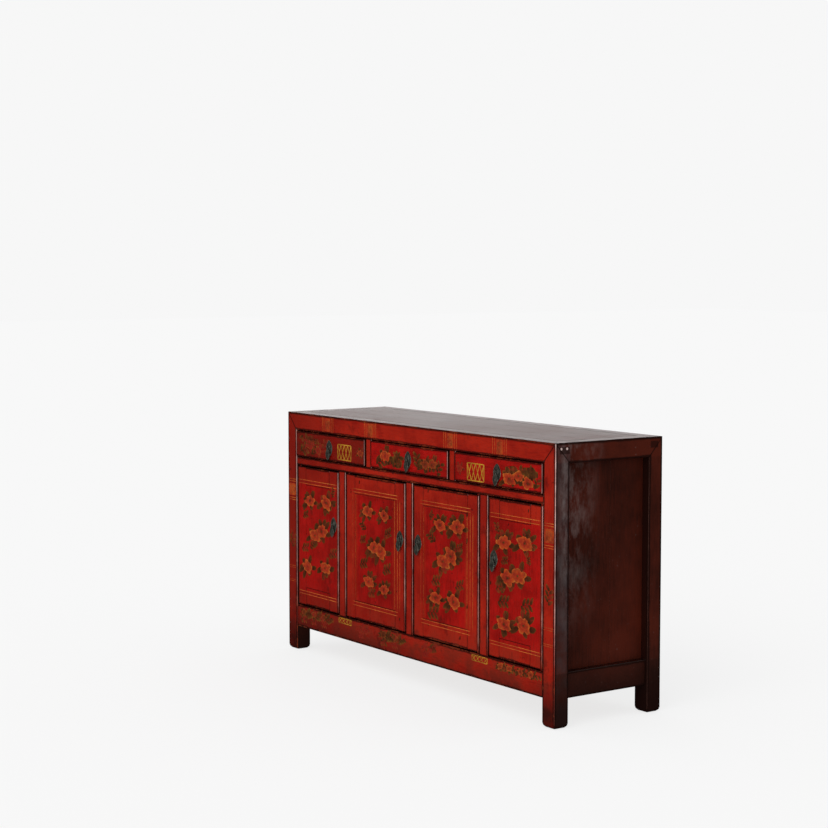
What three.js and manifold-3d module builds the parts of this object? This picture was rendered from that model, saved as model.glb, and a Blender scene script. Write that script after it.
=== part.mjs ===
// Lacquered sideboard: a post and rail case with drawers over hinged doors. Millimetres, +Z up,
// front towards -Y. The origin is the bottom centre of the whole piece, pulls included.
import * as THREE from "three";
import { ConvexGeometry } from "three/addons/geometries/ConvexGeometry.js";
import { mergeVertices } from "three/addons/utils/BufferGeometryUtils.js";
import Module from "manifold-3d";

const wasm = await Module();
wasm.setup();

// --- Overall size ---
const WIDTH = 1510; // outside of the posts
const DEPTH = 426; // front face of the posts to their back face
const HEIGHT = 860;
const GAP = 0.3; // clearance left between neighbouring pieces

// --- Case members ---
const POST_W = 58; // across the front
const POST_D = 55; // front to back
const FOOT_EASE = 5; // chamfer round the foot
const TOP_H = 62; // height of the four mitred top rails
const TOP_BOARD_T = 18;
const APRON_Z = 88; // underside of the bottom rails
const APRON_H = 80;
const APRON_T = 28;
const SIDE_RAIL_INSET = 10; // bottom side rails behind the post's outer face
const PANEL_INSET = 27; // side panels behind the post's outer face
const PANEL_T = 10;
const BACK_INSET = 14;
const BACK_T = 12;
const FLOOR_T = 16; // cupboard floor
const FRAME_T = 40; // front to back, of the members between the openings
const FRAME_SET = 2; // how far those members sit behind the posts' face
const DRAWER_RAIL_Z = 673;
const DRAWER_RAIL_H = 29;
const DRAWER_DIVIDER_W = 35;
const DOOR_DIVIDER_W = 43;
const MULLION_W = 40;

// --- Drawers ---
const DRAWER_GAP = 2.5; // round each drawer front
const DRAWER_FRONT_T = 20;
const DRAWER_PROUD = 2; // drawer fronts stand this far in front of the posts
const DRAWER_WALL = 10;
const DRAWER_SIDE_H = 72;
const DRAWER_LENGTH = 340; // behind the drawer front
const DRAWER_BOTTOM_T = 6;
const DRAWER_CLEAR = 4; // between a drawer's side and its opening
const RUNNER_H = 20;
const RUNNER_W = 60;

// --- Doors ---
const DOOR_GAP = 4;
const DOOR_T = 24;
const OUTER_DOOR_W = 264.5;
const INNER_DOOR_W = 353.5;
const DOOR_Z = 172;
const DOOR_H = 496.5;
const DOOR_STILE = 55;
const DOOR_RAIL = 62;
const DOOR_PANEL_T = 12;
const PIVOT_R = 5;
const PIVOT_L = 10;
const PIVOT_IN = 10; // pivot axis behind the face and in from the hinge edge
const PIVOT_EASE = 3; // chamfer that lets the hinge edge turn past the post
const PIVOT_SLIP = 0.3;

// --- Pulls ---
const PLATE_W = 38;
const PLATE_H = 58;
const PLATE_T = 1.6;
const BOSS_R = 9;
const BOSS_T = 2.6;
const EYE_R = 3.8;
const EYE_W = 4;
const EYE_OUT = 8; // pull axis in front of the surface
const EYE_UP = 9; // pull axis above the plate's centre
const PIN_R = 1.8;
const PIN_SLIP = 0.25;
const CHEEK_T = 2.2;
const DROP_W = 25;
const DROP_L = 46;
const DROP_T = 2.6;
const DROP_TOP = 5; // top edge of the leaf below its axis
const DRAWER_PULL_Z = 748;
const DOOR_PULL_Z = 479;
const DOOR_PULL_IN = 28; // from the free edge
const ROUND = 20; // facets round a pin or hole

// --- Places worked out from the sizes above ---
const LEFT = -WIDTH / 2;
const RIGHT = WIDTH / 2;
const PULL_OUT = EYE_OUT + EYE_R + DRAWER_PROUD; // the furthest thing in front of the posts
const FRONT = -(DEPTH + PULL_OUT) / 2 + PULL_OUT;
const BACK = FRONT + DEPTH;
const TOP_Z = HEIGHT - TOP_H; // underside of the top rails
const APRON_TOP = APRON_Z + APRON_H;
const RAIL_TOP = DRAWER_RAIL_Z + DRAWER_RAIL_H;
const INNER_L = LEFT + POST_W;
const INNER_R = RIGHT - POST_W;
const FRAME_Y = FRONT + FRAME_SET;
const DRAWER_OPENING = (INNER_R - INNER_L - 2 * DRAWER_DIVIDER_W) / 3;

// --- Materials ---
const PAINT = { colour: 0x8f1510, roughness: 0.35, metalness: 0 };
const PANEL_PAINT = { colour: 0x9a0d0a, roughness: 0.3, metalness: 0 };
const DARK_LACQUER = { colour: 0x2c1210, roughness: 0.35, metalness: 0 };
const BARE_WOOD = { colour: 0x9b7a52, roughness: 0.8, metalness: 0 };
const IRON = { colour: 0x2f3836, roughness: 0.5, metalness: 0.85 };

const group = new THREE.Group();

function material({ colour, roughness, metalness }) {
  return new THREE.MeshStandardMaterial({ color: colour, roughness, metalness });
}

// --- Solids ---
function toSolid(geometry) {
  const bare = geometry.clone();
  bare.deleteAttribute("normal");
  if (bare.hasAttribute("uv")) bare.deleteAttribute("uv");
  const merged = mergeVertices(bare, 1e-4);
  return new wasm.Manifold(
    new wasm.Mesh({
      numProp: 3,
      vertProperties: new Float32Array(merged.attributes.position.array),
      triVerts: new Uint32Array(merged.index.array),
    }),
  );
}

function add(name, solid, finish) {
  const { vertProperties, triVerts } = solid.getMesh();
  const indexed = new THREE.BufferGeometry();
  indexed.setAttribute("position", new THREE.BufferAttribute(vertProperties, 3));
  indexed.setIndex(new THREE.BufferAttribute(triVerts, 1));
  const geometry = indexed.toNonIndexed();
  geometry.computeVertexNormals();
  const mesh = new THREE.Mesh(geometry, material(finish));
  mesh.name = name;
  group.add(mesh);
}

// A box between two corners, drawn in by a clearance on every side.
function box(x, y, z, slip = 0) {
  const size = [x, y, z].map(([low, high]) => high - low - 2 * slip);
  const geometry = new THREE.BoxGeometry(...size);
  geometry.translate((x[0] + x[1]) / 2, (y[0] + y[1]) / 2, (z[0] + z[1]) / 2);
  return toSolid(geometry);
}

const piece = (x, y, z) => box(x, y, z, GAP / 2);

const hull = (points) => toSolid(new ConvexGeometry(points.map((p) => new THREE.Vector3(...p))));

function cylinderX(radius, x, y, z) {
  const geometry = new THREE.CylinderGeometry(radius, radius, x[1] - x[0], ROUND);
  geometry.rotateZ(Math.PI / 2);
  geometry.translate((x[0] + x[1]) / 2, y, z);
  return toSolid(geometry);
}

function cylinderZ(radius, x, y, z) {
  const geometry = new THREE.CylinderGeometry(radius, radius, z[1] - z[0], ROUND);
  geometry.rotateX(Math.PI / 2);
  geometry.translate(x, y, (z[0] + z[1]) / 2);
  return toSolid(geometry);
}

// A plan outline of [x, y] points, raised from z[0] to z[1].
function raised(outline, z) {
  const shape = new THREE.Shape(outline.map(([x, y]) => new THREE.Vector2(x, y)));
  const geometry = new THREE.ExtrudeGeometry(shape, { depth: z[1] - z[0], bevelEnabled: false });
  geometry.translate(0, 0, z[0]);
  return toSolid(geometry);
}

// --- Posts and top rails: each corner is a three-way mitre, split along its diagonals ---
const CORNERS = [
  ["front_left", LEFT, 1, FRONT, 1],
  ["front_right", RIGHT, -1, FRONT, 1],
  ["back_left", LEFT, 1, BACK, -1],
  ["back_right", RIGHT, -1, BACK, -1],
];

function addPosts() {
  for (const [place, x, sx, y, sy] of CORNERS) {
    const ring = (z, ease) => [
      [x + sx * ease, y + sy * ease, z],
      [x + sx * (POST_W - ease), y + sy * ease, z],
      [x + sx * ease, y + sy * (POST_D - ease), z],
      [x + sx * (POST_W - ease), y + sy * (POST_D - ease), z],
    ];
    const peak = [[x, y, HEIGHT - GAP]];
    const shoulders = ring(TOP_Z - GAP, 0);
    add(`post_${place}`, hull([...ring(0, FOOT_EASE), ...ring(FOOT_EASE, 0), ...shoulders, ...peak]), PAINT);
  }
}

function addTopRails() {
  for (const [place, y, sy] of [["front", FRONT, 1], ["back", BACK, -1]]) {
    const end = (x, sx) => [
      [x + sx * GAP, y, HEIGHT],
      [x + sx * (POST_W + GAP), y + sy * POST_D, HEIGHT],
      [x + sx * (POST_W + GAP), y, TOP_Z],
      [x + sx * (POST_W + GAP), y + sy * POST_D, TOP_Z],
    ];
    add(`top_rail_${place}`, hull([...end(LEFT, 1), ...end(RIGHT, -1)]), PAINT);
  }
  for (const [place, x, sx] of [["left", LEFT, 1], ["right", RIGHT, -1]]) {
    const end = (y, sy) => [
      [x, y + sy * GAP, HEIGHT],
      [x + sx * POST_W, y + sy * (POST_D + GAP), HEIGHT],
      [x, y + sy * (POST_D + GAP), TOP_Z],
      [x + sx * POST_W, y + sy * (POST_D + GAP), TOP_Z],
    ];
    add(`top_rail_${place}`, hull([...end(FRONT, 1), ...end(BACK, -1)]), DARK_LACQUER);
  }
}

function addTopBoard() {
  const board = piece(
    [INNER_L, INNER_R],
    [FRONT + POST_D, BACK - POST_D],
    [HEIGHT - TOP_BOARD_T, HEIGHT + GAP / 2],
  );
  add("top_board", board, DARK_LACQUER);
}

// --- Openings in the front ---
const drawerDividers = [1, 2].map((i) => {
  const x = INNER_L + i * DRAWER_OPENING + (i - 1) * DRAWER_DIVIDER_W;
  return [x, x + DRAWER_DIVIDER_W];
});

const outerEnd = INNER_L + OUTER_DOOR_W + 2 * DOOR_GAP;
const uprights = {
  door_divider_left: [outerEnd, outerEnd + DOOR_DIVIDER_W],
  centre_mullion: [-MULLION_W / 2, MULLION_W / 2],
  door_divider_right: [-outerEnd - DOOR_DIVIDER_W, -outerEnd],
};

// Each door's hinge edge, the way it runs from there, and its width.
const DOORS = [
  ["door_1", INNER_L + DOOR_GAP, 1, OUTER_DOOR_W],
  ["door_2", outerEnd + DOOR_DIVIDER_W + DOOR_GAP, 1, INNER_DOOR_W],
  ["door_3", -outerEnd - DOOR_DIVIDER_W - DOOR_GAP, -1, INNER_DOOR_W],
  ["door_4", INNER_R - DOOR_GAP, -1, OUTER_DOOR_W],
];
const pivotX = ([, hingeX, run]) => hingeX + run * PIVOT_IN;
const PIVOT_Y = FRAME_Y + PIVOT_IN;

// Cuts a pivot socket for each door that enters a rail by the pivot's own depth.
function withSockets(rail, mouth, away) {
  return DOORS.reduce((solid, door) => {
    const reach = [mouth - away * GAP, mouth + away * PIVOT_L].sort((a, b) => a - b);
    return solid.subtract(cylinderZ(PIVOT_R + PIVOT_SLIP, pivotX(door), PIVOT_Y, reach));
  }, rail);
}

function addFrontFrame() {
  const depth = [FRAME_Y, FRAME_Y + FRAME_T];
  const across = [INNER_L, INNER_R];
  const drawerRail = piece(across, depth, [DRAWER_RAIL_Z, RAIL_TOP]);
  add("drawer_rail_front", withSockets(drawerRail, DRAWER_RAIL_Z, 1), PAINT);
  drawerDividers.forEach((x, i) => {
    add(`drawer_divider_${i + 1}`, piece(x, depth, [RAIL_TOP, TOP_Z]), PAINT);
  });
  for (const [name, x] of Object.entries(uprights)) {
    add(name, piece(x, depth, [APRON_TOP, DRAWER_RAIL_Z]), PAINT);
  }
}

function addBottomRails() {
  const z = [APRON_Z, APRON_TOP];
  const apron = piece([INNER_L, INNER_R], [FRAME_Y, FRAME_Y + APRON_T], z);
  add("bottom_rail_front", withSockets(apron, APRON_TOP, -1), PAINT);
  const rear = [BACK - BACK_INSET - BACK_T, BACK - BACK_INSET];
  add("bottom_rail_back", piece([INNER_L, INNER_R], rear, z), DARK_LACQUER);
  const along = [FRONT + POST_D, BACK - POST_D];
  const inner = PANEL_INSET + PANEL_T;
  add("bottom_rail_left", piece([LEFT + SIDE_RAIL_INSET, LEFT + inner], along, z), DARK_LACQUER);
  add("bottom_rail_right", piece([RIGHT - inner, RIGHT - SIDE_RAIL_INSET], along, z), DARK_LACQUER);
}

// --- Panels that close the case ---
function addPanels() {
  const z = [APRON_TOP, TOP_Z];
  const along = [FRONT + POST_D, BACK - POST_D];
  const [outer, inner] = [PANEL_INSET, PANEL_INSET + PANEL_T];
  add("side_panel_left", piece([LEFT + outer, LEFT + inner], along, z), DARK_LACQUER);
  add("side_panel_right", piece([RIGHT - inner, RIGHT - outer], along, z), DARK_LACQUER);
  const rear = [BACK - BACK_INSET - BACK_T, BACK - BACK_INSET];
  add("back_panel", piece([INNER_L, INNER_R], rear, z), DARK_LACQUER);
}

// The cupboard floor is notched round the four posts.
function addFloor() {
  const wide = WIDTH / 2 - PANEL_INSET - PANEL_T - GAP;
  const narrow = WIDTH / 2 - POST_W - GAP;
  const y = [
    FRAME_Y + APRON_T + GAP,
    FRONT + POST_D + GAP,
    BACK - POST_D - GAP,
    BACK - BACK_INSET - BACK_T - GAP,
  ];
  const right = [[narrow, y[0]], [narrow, y[1]], [wide, y[1]], [wide, y[2]], [narrow, y[2]], [narrow, y[3]]];
  const left = right.map(([x, depth]) => [-x, depth]).reverse();
  add("cupboard_floor", raised([...right, ...left], [APRON_TOP - FLOOR_T, APRON_TOP - GAP]), BARE_WOOD);
}

function addRunners() {
  const y = [FRAME_Y + FRAME_T, BACK - BACK_INSET - BACK_T];
  const z = [RAIL_TOP - RUNNER_H, RAIL_TOP];
  const middle = drawerDividers.map(([a, b]) => (a + b) / 2);
  const spans = [
    [INNER_L, INNER_L + RUNNER_W / 2],
    ...middle.map((x) => [x - RUNNER_W / 2, x + RUNNER_W / 2]),
    [INNER_R - RUNNER_W / 2, INNER_R],
  ];
  spans.forEach((x, i) => add(`drawer_runner_${i + 1}`, piece(x, y, z), BARE_WOOD));
}

// --- Drawers ---
const drawerOpenings = [0, 1, 2].map((i) => {
  const x = INNER_L + i * (DRAWER_OPENING + DRAWER_DIVIDER_W);
  return [x, x + DRAWER_OPENING];
});

function addDrawer(name, [x0, x1]) {
  const frontY = FRONT - DRAWER_PROUD;
  const backY = frontY + DRAWER_FRONT_T;
  const front = box(
    [x0 + DRAWER_GAP, x1 - DRAWER_GAP],
    [frontY, backY],
    [RAIL_TOP + DRAWER_GAP, TOP_Z - DRAWER_GAP],
  );
  add(`${name}_front`, front, PAINT);
  const outer = [x0 + DRAWER_CLEAR, x1 - DRAWER_CLEAR];
  const inner = [outer[0] + DRAWER_WALL, outer[1] - DRAWER_WALL];
  const z = [RAIL_TOP + GAP, RAIL_TOP + GAP + DRAWER_SIDE_H];
  const y = [backY + GAP, backY + DRAWER_LENGTH];
  const void_ = box(inner, [y[0] - DRAWER_WALL, y[1] - DRAWER_WALL], [z[0] - GAP, z[1] + GAP]);
  add(`${name}_box`, box(outer, y, z).subtract(void_), BARE_WOOD);
  const bottomY = [y[0], y[1] - DRAWER_WALL];
  const bottomZ = [z[0] + 1, z[0] + 1 + DRAWER_BOTTOM_T];
  add(`${name}_bottom`, box(inner, bottomY, bottomZ, GAP), BARE_WOOD);
}

// --- Doors: a frame with its wooden pivots, round a flush panel ---
function addDoor(door) {
  const [name, hingeX, run, width] = door;
  const x = (distance) => hingeX + run * distance;
  const back = FRAME_Y + DOOR_T;
  const outline = [
    [x(0), FRAME_Y + PIVOT_EASE],
    [x(PIVOT_EASE), FRAME_Y],
    [x(width), FRAME_Y],
    [x(width), back],
    [x(0), back],
  ];
  const top = DOOR_Z + DOOR_H;
  const span = [x(DOOR_STILE), x(width - DOOR_STILE)].sort((a, b) => a - b);
  const rise = [DOOR_Z + DOOR_RAIL, top - DOOR_RAIL];
  const pivot = [DOOR_Z - DOOR_GAP - PIVOT_L + 1, top + DOOR_GAP + PIVOT_L - 1];
  const blank = raised(run > 0 ? outline : outline.reverse(), [DOOR_Z, top]);
  const window = box(span, [FRAME_Y - GAP, back + GAP], rise);
  const pins = cylinderZ(PIVOT_R, pivotX(door), PIVOT_Y, pivot);
  add(`${name}_frame`, blank.add(pins).subtract(window), PAINT);
  const panel = box(span, [FRAME_Y, FRAME_Y + DOOR_PANEL_T], rise, GAP);
  add(`${name}_panel`, panel, PANEL_PAINT);
}

// --- Pulls: a pointed plate with a boss and an eye, and a leaf-shaped drop on a pin ---
function leaf(width, length, thickness, rise, lean) {
  const shape = new THREE.Shape();
  shape.moveTo(0, 0);
  shape.bezierCurveTo(width * lean, -length * 0.25, width * 0.5, -length * rise, 0, -length);
  shape.bezierCurveTo(-width * 0.5, -length * rise, -width * lean, -length * 0.25, 0, 0);
  const bevel = thickness * 0.25;
  const geometry = new THREE.ExtrudeGeometry(shape, {
    depth: thickness - 2 * bevel,
    bevelThickness: bevel,
    bevelSize: bevel,
    bevelOffset: -bevel,
    bevelSegments: 1,
    curveSegments: 12,
  });
  geometry.rotateX(Math.PI / 2);
  return geometry;
}

function addPull(name, x, surfaceY, z) {
  const axisY = surfaceY - EYE_OUT;
  const axisZ = z + EYE_UP;
  const plate = leaf(PLATE_W, PLATE_H, PLATE_T, 0.75, 0.84);
  plate.translate(x, surfaceY - GAP / 2 - PLATE_T * 0.25, z + PLATE_H / 2);
  const boss = new THREE.LatheGeometry(
    [[0, 0], [BOSS_R, 0], [BOSS_R * 0.9, BOSS_T * 0.5], [BOSS_R * 0.6, BOSS_T * 0.85], [0, BOSS_T]].map(
      ([r, h]) => new THREE.Vector2(r, h),
    ),
    ROUND,
  );
  boss.rotateX(Math.PI);
  boss.translate(x, surfaceY - PLATE_T * 0.5, axisZ);
  const neck = box([x - EYE_W / 2, x + EYE_W / 2], [axisY, surfaceY - PLATE_T / 2], [
    axisZ - EYE_R * 0.6,
    axisZ + EYE_R * 0.6,
  ]);
  const eye = cylinderX(EYE_R, [x - EYE_W / 2, x + EYE_W / 2], axisY, axisZ);
  const hole = cylinderX(PIN_R + PIN_SLIP, [x - EYE_W, x + EYE_W], axisY, axisZ);
  add(`${name}_plate`, toSolid(plate).add(toSolid(boss)).add(neck).add(eye).subtract(hole), IRON);

  const drop = leaf(DROP_W, DROP_L, DROP_T, 0.8, 0.84);
  drop.translate(x, axisY + DROP_T * 0.25, axisZ - DROP_TOP);
  const outer = EYE_W / 2 + 0.5 + CHEEK_T;
  const pin = cylinderX(PIN_R, [x - outer, x + outer], axisY, axisZ);
  const fork = [-1, 1].map((side) => {
    const cheek = [x + side * (outer - CHEEK_T), x + side * outer].sort((a, b) => a - b);
    const arm = box(cheek, [axisY - DROP_T / 2, axisY + DROP_T / 2], [axisZ - DROP_TOP - 8, axisZ]);
    return cylinderX(PIN_R * 1.7, cheek, axisY, axisZ).add(arm);
  });
  add(`${name}_drop`, toSolid(drop).add(pin).add(fork[0]).add(fork[1]), IRON);
}

addPosts();
addTopRails();
addTopBoard();
addFrontFrame();
addBottomRails();
addPanels();
addFloor();
addRunners();
drawerOpenings.forEach((opening, i) => {
  addDrawer(`drawer_${i + 1}`, opening);
  addPull(`drawer_${i + 1}`, (opening[0] + opening[1]) / 2, FRONT - DRAWER_PROUD, DRAWER_PULL_Z);
});
DOORS.forEach((door) => {
  const [name, hingeX, run, width] = door;
  addDoor(door);
  addPull(name, hingeX + run * (width - DOOR_PULL_IN), FRAME_Y, DOOR_PULL_Z);
});

export default group;
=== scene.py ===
"""A lacquered sideboard, dressed for the camera.

The case, drawers and doors are rounded bars of wood under old red and dark lacquer. Flowers, leaves,
gold lines and lattices are brush strokes a fraction of a millimetre thick. Iron pulls hang in front.
Lengths are metres; X runs along the front, Y from front to back, Z up.
"""

# %% [markdown]
# The part that was built comes in first. Its pieces keep their places, and each finer
# piece made below either stands for one of them or rides along on the same moving body.

import math

import bmesh
import bpy
import numpy as np
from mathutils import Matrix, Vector


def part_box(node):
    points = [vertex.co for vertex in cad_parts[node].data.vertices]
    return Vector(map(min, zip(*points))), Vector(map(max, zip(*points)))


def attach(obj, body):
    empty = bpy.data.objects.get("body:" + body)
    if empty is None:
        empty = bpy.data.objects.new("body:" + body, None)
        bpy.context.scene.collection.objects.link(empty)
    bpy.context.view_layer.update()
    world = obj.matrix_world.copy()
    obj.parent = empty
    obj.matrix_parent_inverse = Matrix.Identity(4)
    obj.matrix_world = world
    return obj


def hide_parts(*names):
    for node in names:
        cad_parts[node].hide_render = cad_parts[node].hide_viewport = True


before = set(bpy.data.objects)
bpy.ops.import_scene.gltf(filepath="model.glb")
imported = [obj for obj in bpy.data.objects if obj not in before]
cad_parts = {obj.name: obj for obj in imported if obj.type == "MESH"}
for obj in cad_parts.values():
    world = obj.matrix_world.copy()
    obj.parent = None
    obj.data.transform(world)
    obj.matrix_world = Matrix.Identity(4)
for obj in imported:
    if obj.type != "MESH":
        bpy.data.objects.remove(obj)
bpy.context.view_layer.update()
MM = 0.001

# %% [markdown]
# A few sizes are read back from the part, so that the fine pieces meet where its pieces meet.


# %% Sizes read from the part
def reach(node):
    """The lowest and highest corner of a piece of the part, as two arrays."""
    low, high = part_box(node)
    return np.array(low), np.array(high)


LEFT, FRONT = reach("post_front_left")[0][:2]
RIGHT, BACK = reach("post_back_right")[1][:2]
HEIGHT = reach("top_rail_front")[1][2]
POST = reach("post_front_left")[1][:2] - reach("post_front_left")[0][:2]
TOP_Z = reach("top_rail_front")[0][2]
TOP_H = HEIGHT - TOP_Z
LOW_RAIL_TOP = reach("bottom_rail_right")[1][2]
SEAM = 0.3 * MM
DRAWERS = ["drawer_1", "drawer_2", "drawer_3"]
DOORS = ["door_1", "door_2", "door_3", "door_4"]
print("case", (RIGHT - LEFT).round(3), (BACK - FRONT).round(3), HEIGHT.round(3))

# %% [markdown]
# Shader sums are easier to read as sums. A small class wraps a socket, and adding, multiplying or
# comparing two of them adds the Math node that does it. One method makes every other node.


# %% A shader written as sums
class Signal:
    """A value that varies over a surface: one output socket of a finish."""

    def __init__(self, finish, socket):
        self.finish, self.socket = finish, socket

    def math(self, operation, other=0.0, swapped=False):
        """One Math node on this signal and another signal or number."""
        first, second = (other, self) if swapped else (self, other)
        return self.finish.node("ShaderNodeMath", {"operation": operation}, {0: first, 1: second})

    def __add__(self, other):
        return self.math("ADD", other)

    def __sub__(self, other):
        return self.math("SUBTRACT", other)

    def __rsub__(self, other):
        return self.math("SUBTRACT", other, swapped=True)

    def __mul__(self, other):
        return self.math("MULTIPLY", other)

    def __pow__(self, other):
        return self.math("POWER", other)

    __radd__, __rmul__ = __add__, __mul__

    def size(self):
        """The value without its sign."""
        return self.math("ABSOLUTE")

    def over(self, start, end):
        """0 below start, 1 above end, and an even slope between them."""
        return self.finish.node(
            "ShaderNodeMapRange",
            {"clamp": True},
            {"Value": self, "From Min": start, "From Max": end, "To Min": 0.0, "To Max": 1.0},
        )


class Finish:
    """A material on a Principled shader, built node by node."""

    def __init__(self, name):
        self.material = bpy.data.materials.new(name)
        self.material.use_nodes = True
        self.tree = self.material.node_tree
        self.shader = self.tree.nodes["Principled BSDF"]

    def feed(self, socket, value):
        """Links a signal to a socket, or sets a plain value on it."""
        if isinstance(value, Signal):
            self.tree.links.new(value.socket, socket)
        else:
            socket.default_value = value

    def node(self, kind, settings=None, inputs=None, output=0):
        """Any node: its type, its settings, what its sockets take, and the output that is wanted."""
        made = self.tree.nodes.new(kind)
        for key, value in (settings or {}).items():
            if key == "stops":
                ramp = made.color_ramp.elements
                while len(ramp) < len(value):
                    ramp.new(0.5)
                for element, (position, colour) in zip(ramp, value):
                    element.position, element.color = position, colour
            else:
                setattr(made, key, value)
        for key, value in (inputs or {}).items():
            self.feed(made.inputs[key], value)
        return Signal(self, made.outputs[output])

    def place(self):
        """Where a point is, in metres on the object's own axes."""
        return self.node("ShaderNodeTexCoord", output="Object")

    def stretched(self, scale):
        """The place with each axis scaled, so that a noise on it is drawn out along a small scale."""
        return self.node("ShaderNodeMapping", None, {"Vector": self.place(), "Scale": scale})

    def noise(self, vector, scale, detail=3.0, roughness=0.5, distortion=0.0):
        """A value near one half that drifts with the place, with so many swings to a metre."""
        values = {
            "Vector": vector,
            "Scale": scale,
            "Detail": detail,
            "Roughness": roughness,
            "Distortion": distortion,
        }
        return self.node("ShaderNodeTexNoise", None, values)

    def given(self, label):
        """A number stored on the piece's own vertices."""
        return self.node("ShaderNodeAttribute", {"attribute_name": label}, output="Fac")

    def axis(self, letter):
        """One coordinate of the place."""
        return self.node("ShaderNodeSeparateXYZ", None, {0: self.place()}, output=letter)

    def mix(self, share, first, second):
        """The first colour at share 0, the second at share 1."""
        return self.node(
            "ShaderNodeMix", {"data_type": "RGBA"}, {0: share, 6: first, 7: second}, output=2
        )

    def bump(self, height, distance, strength):
        """A normal tilted by a height map."""
        values = {"Height": height, "Distance": distance, "Strength": strength}
        return self.node("ShaderNodeBump", None, values)

    def set(self, **sockets):
        """Feeds the Principled shader, with a _ for each space in a socket's name."""
        for name, value in sockets.items():
            self.feed(self.shader.inputs[name.replace("_", " ")], value)
        return self.material


def rgb(red, green, blue):
    """A screen colour from 0 to 255 as the linear colour that a shader works with."""
    screen = np.array([red, green, blue]) / 255
    linear = np.where(screen <= 0.04045, screen / 12.92, ((screen + 0.055) / 1.055) ** 2.4)
    return (*linear.tolist(), 1.0)


print("helpers for shaders are ready")

# %% [markdown]
# The lacquer is one recipe for all the case work. A number on the vertices says how squarely a
# surface faces the front: there the lacquer is red, and elsewhere it is dark brown, as on the
# real piece, which was painted for the side that shows. Noise on several scales makes the red
# drift between orange and crimson, a fine stretched noise shows the grain through the film, and
# near an arris or a joint a second pair of numbers lets the paint wear through or hold dirt.
# Further numbers place painted highlights on arrises turned to the right and painted shade on
# dark faces turned to the front.

# %% Colours and noises of the lacquer
# Soot also serves as painted shade, and chalk and ivory as the colour of painted highlights.
SCARLET, BRICK = rgb(148, 25, 6), rgb(118, 14, 4)
CRIMSON, GARNET = rgb(153, 5, 1), rgb(112, 5, 2)
RUST, SOOT_AND_SHADE = rgb(160, 62, 24), rgb(22, 8, 6)
UMBER, OXBLOOD = rgb(32, 12, 8), rgb(66, 22, 12)
CHALK_AND_HIGHLIGHT, IVORY_AND_HIGHLIGHT = rgb(124, 116, 114), rgb(206, 182, 176)


def weather(f, stretch):
    """Four noises from broad to fine, the third stretched along the grain."""
    place = f.place()
    broad = f.noise(place, 2.6, 3.0, 0.55)
    mottle = f.noise(place, 14.0, 5.0, 0.62)
    grain = f.noise(f.stretched(stretch), 26.0, 4.0, 0.6, 0.4)
    speck = f.noise(place, 150.0, 2.0, 0.6)
    return broad, mottle, grain, speck


print("colours: five pairs, from scarlet to ivory")

# %% [markdown]
# The red side has two reds. Drawer fronts and the middle of each door are a deep crimson field,
# and the members round them a warmer brick. The field of a door is bounded by numbers stored on
# its pieces, so the colour can cross from the panel to the frame as the real paint does. Over the
# red lie the stains of a long use: streaks, browning near the floor, bruises and nicks.


# %% The red film
def red_film(f, noises):
    """Brick with a crimson field, then each stain mixed in by its own mask. Gives the colour and
    the mask of the browning, which is also rougher."""
    broad, mottle, grain, speck = noises
    side, height = f.axis("X"), f.axis("Z")
    inside = (f.given("half") - f.given("across").size()).over(0.0, 1.5 * MM)
    above = (height - f.given("from")).over(0.0, 2 * MM)
    field = inside * above * (f.given("to") - height).over(0.0, 2 * MM)
    drift = (mottle * 0.5 + grain * 0.5 + (broad - 0.5) * 0.6).over(0.40, 0.60)
    deep = f.given("deep") + field
    red = f.mix(deep, f.mix(drift, BRICK, SCARLET), f.mix(drift, GARNET, CRIMSON))

    streak = (grain * 0.8 + speck * 0.2).over(0.53, 0.66) * 0.5
    red = f.mix(streak, red, rgb(74, 16, 8))
    browned = (0.26 - height).over(0.0, 0.12) * mottle.over(0.38, 0.58) * 0.6
    red = f.mix(browned, red, rgb(84, 26, 12))
    bruised = f.noise(f.place(), 9.0, 4.0, 0.7).over(0.60, 0.70) * 0.6
    red = f.mix(bruised, red, rgb(66, 12, 7))
    aged = (LEFT + 0.40 - side).over(0.0, 0.36) * (mottle * 0.6 + 0.3) * (1 - field * 0.7)
    red = f.mix(aged, red, rgb(88, 12, 6))
    nicks = f.noise(f.place(), 48.0, 3.0, 0.6).over(0.69, 0.73) * 0.8
    red = f.mix(nicks, red, SOOT_AND_SHADE)
    faded = f.given("faded") * (broad * 0.5 + mottle * 0.5).over(0.36, 0.56)
    return f.mix(faded * 0.7, red, rgb(70, 20, 9)), browned


print("red film: crimson fields on brick")

# %% [markdown]
# The sides, the back and the inner faces are dark. Their marks follow the case: pale rubbing high
# up behind the front posts, a painted sheen that greys the outer faces of the front posts, a
# darker rail near the floor with a painted highlight along its upper edge, and the ends of the
# tenons that hold the top corners, with two pegs.


# %% The dark film
def band(value, low, high, soft):
    """1 where a value lies between two bounds, with a soft edge inside each."""
    return (value - low).over(0.0, soft) * (high - value).over(0.0, soft)


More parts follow.
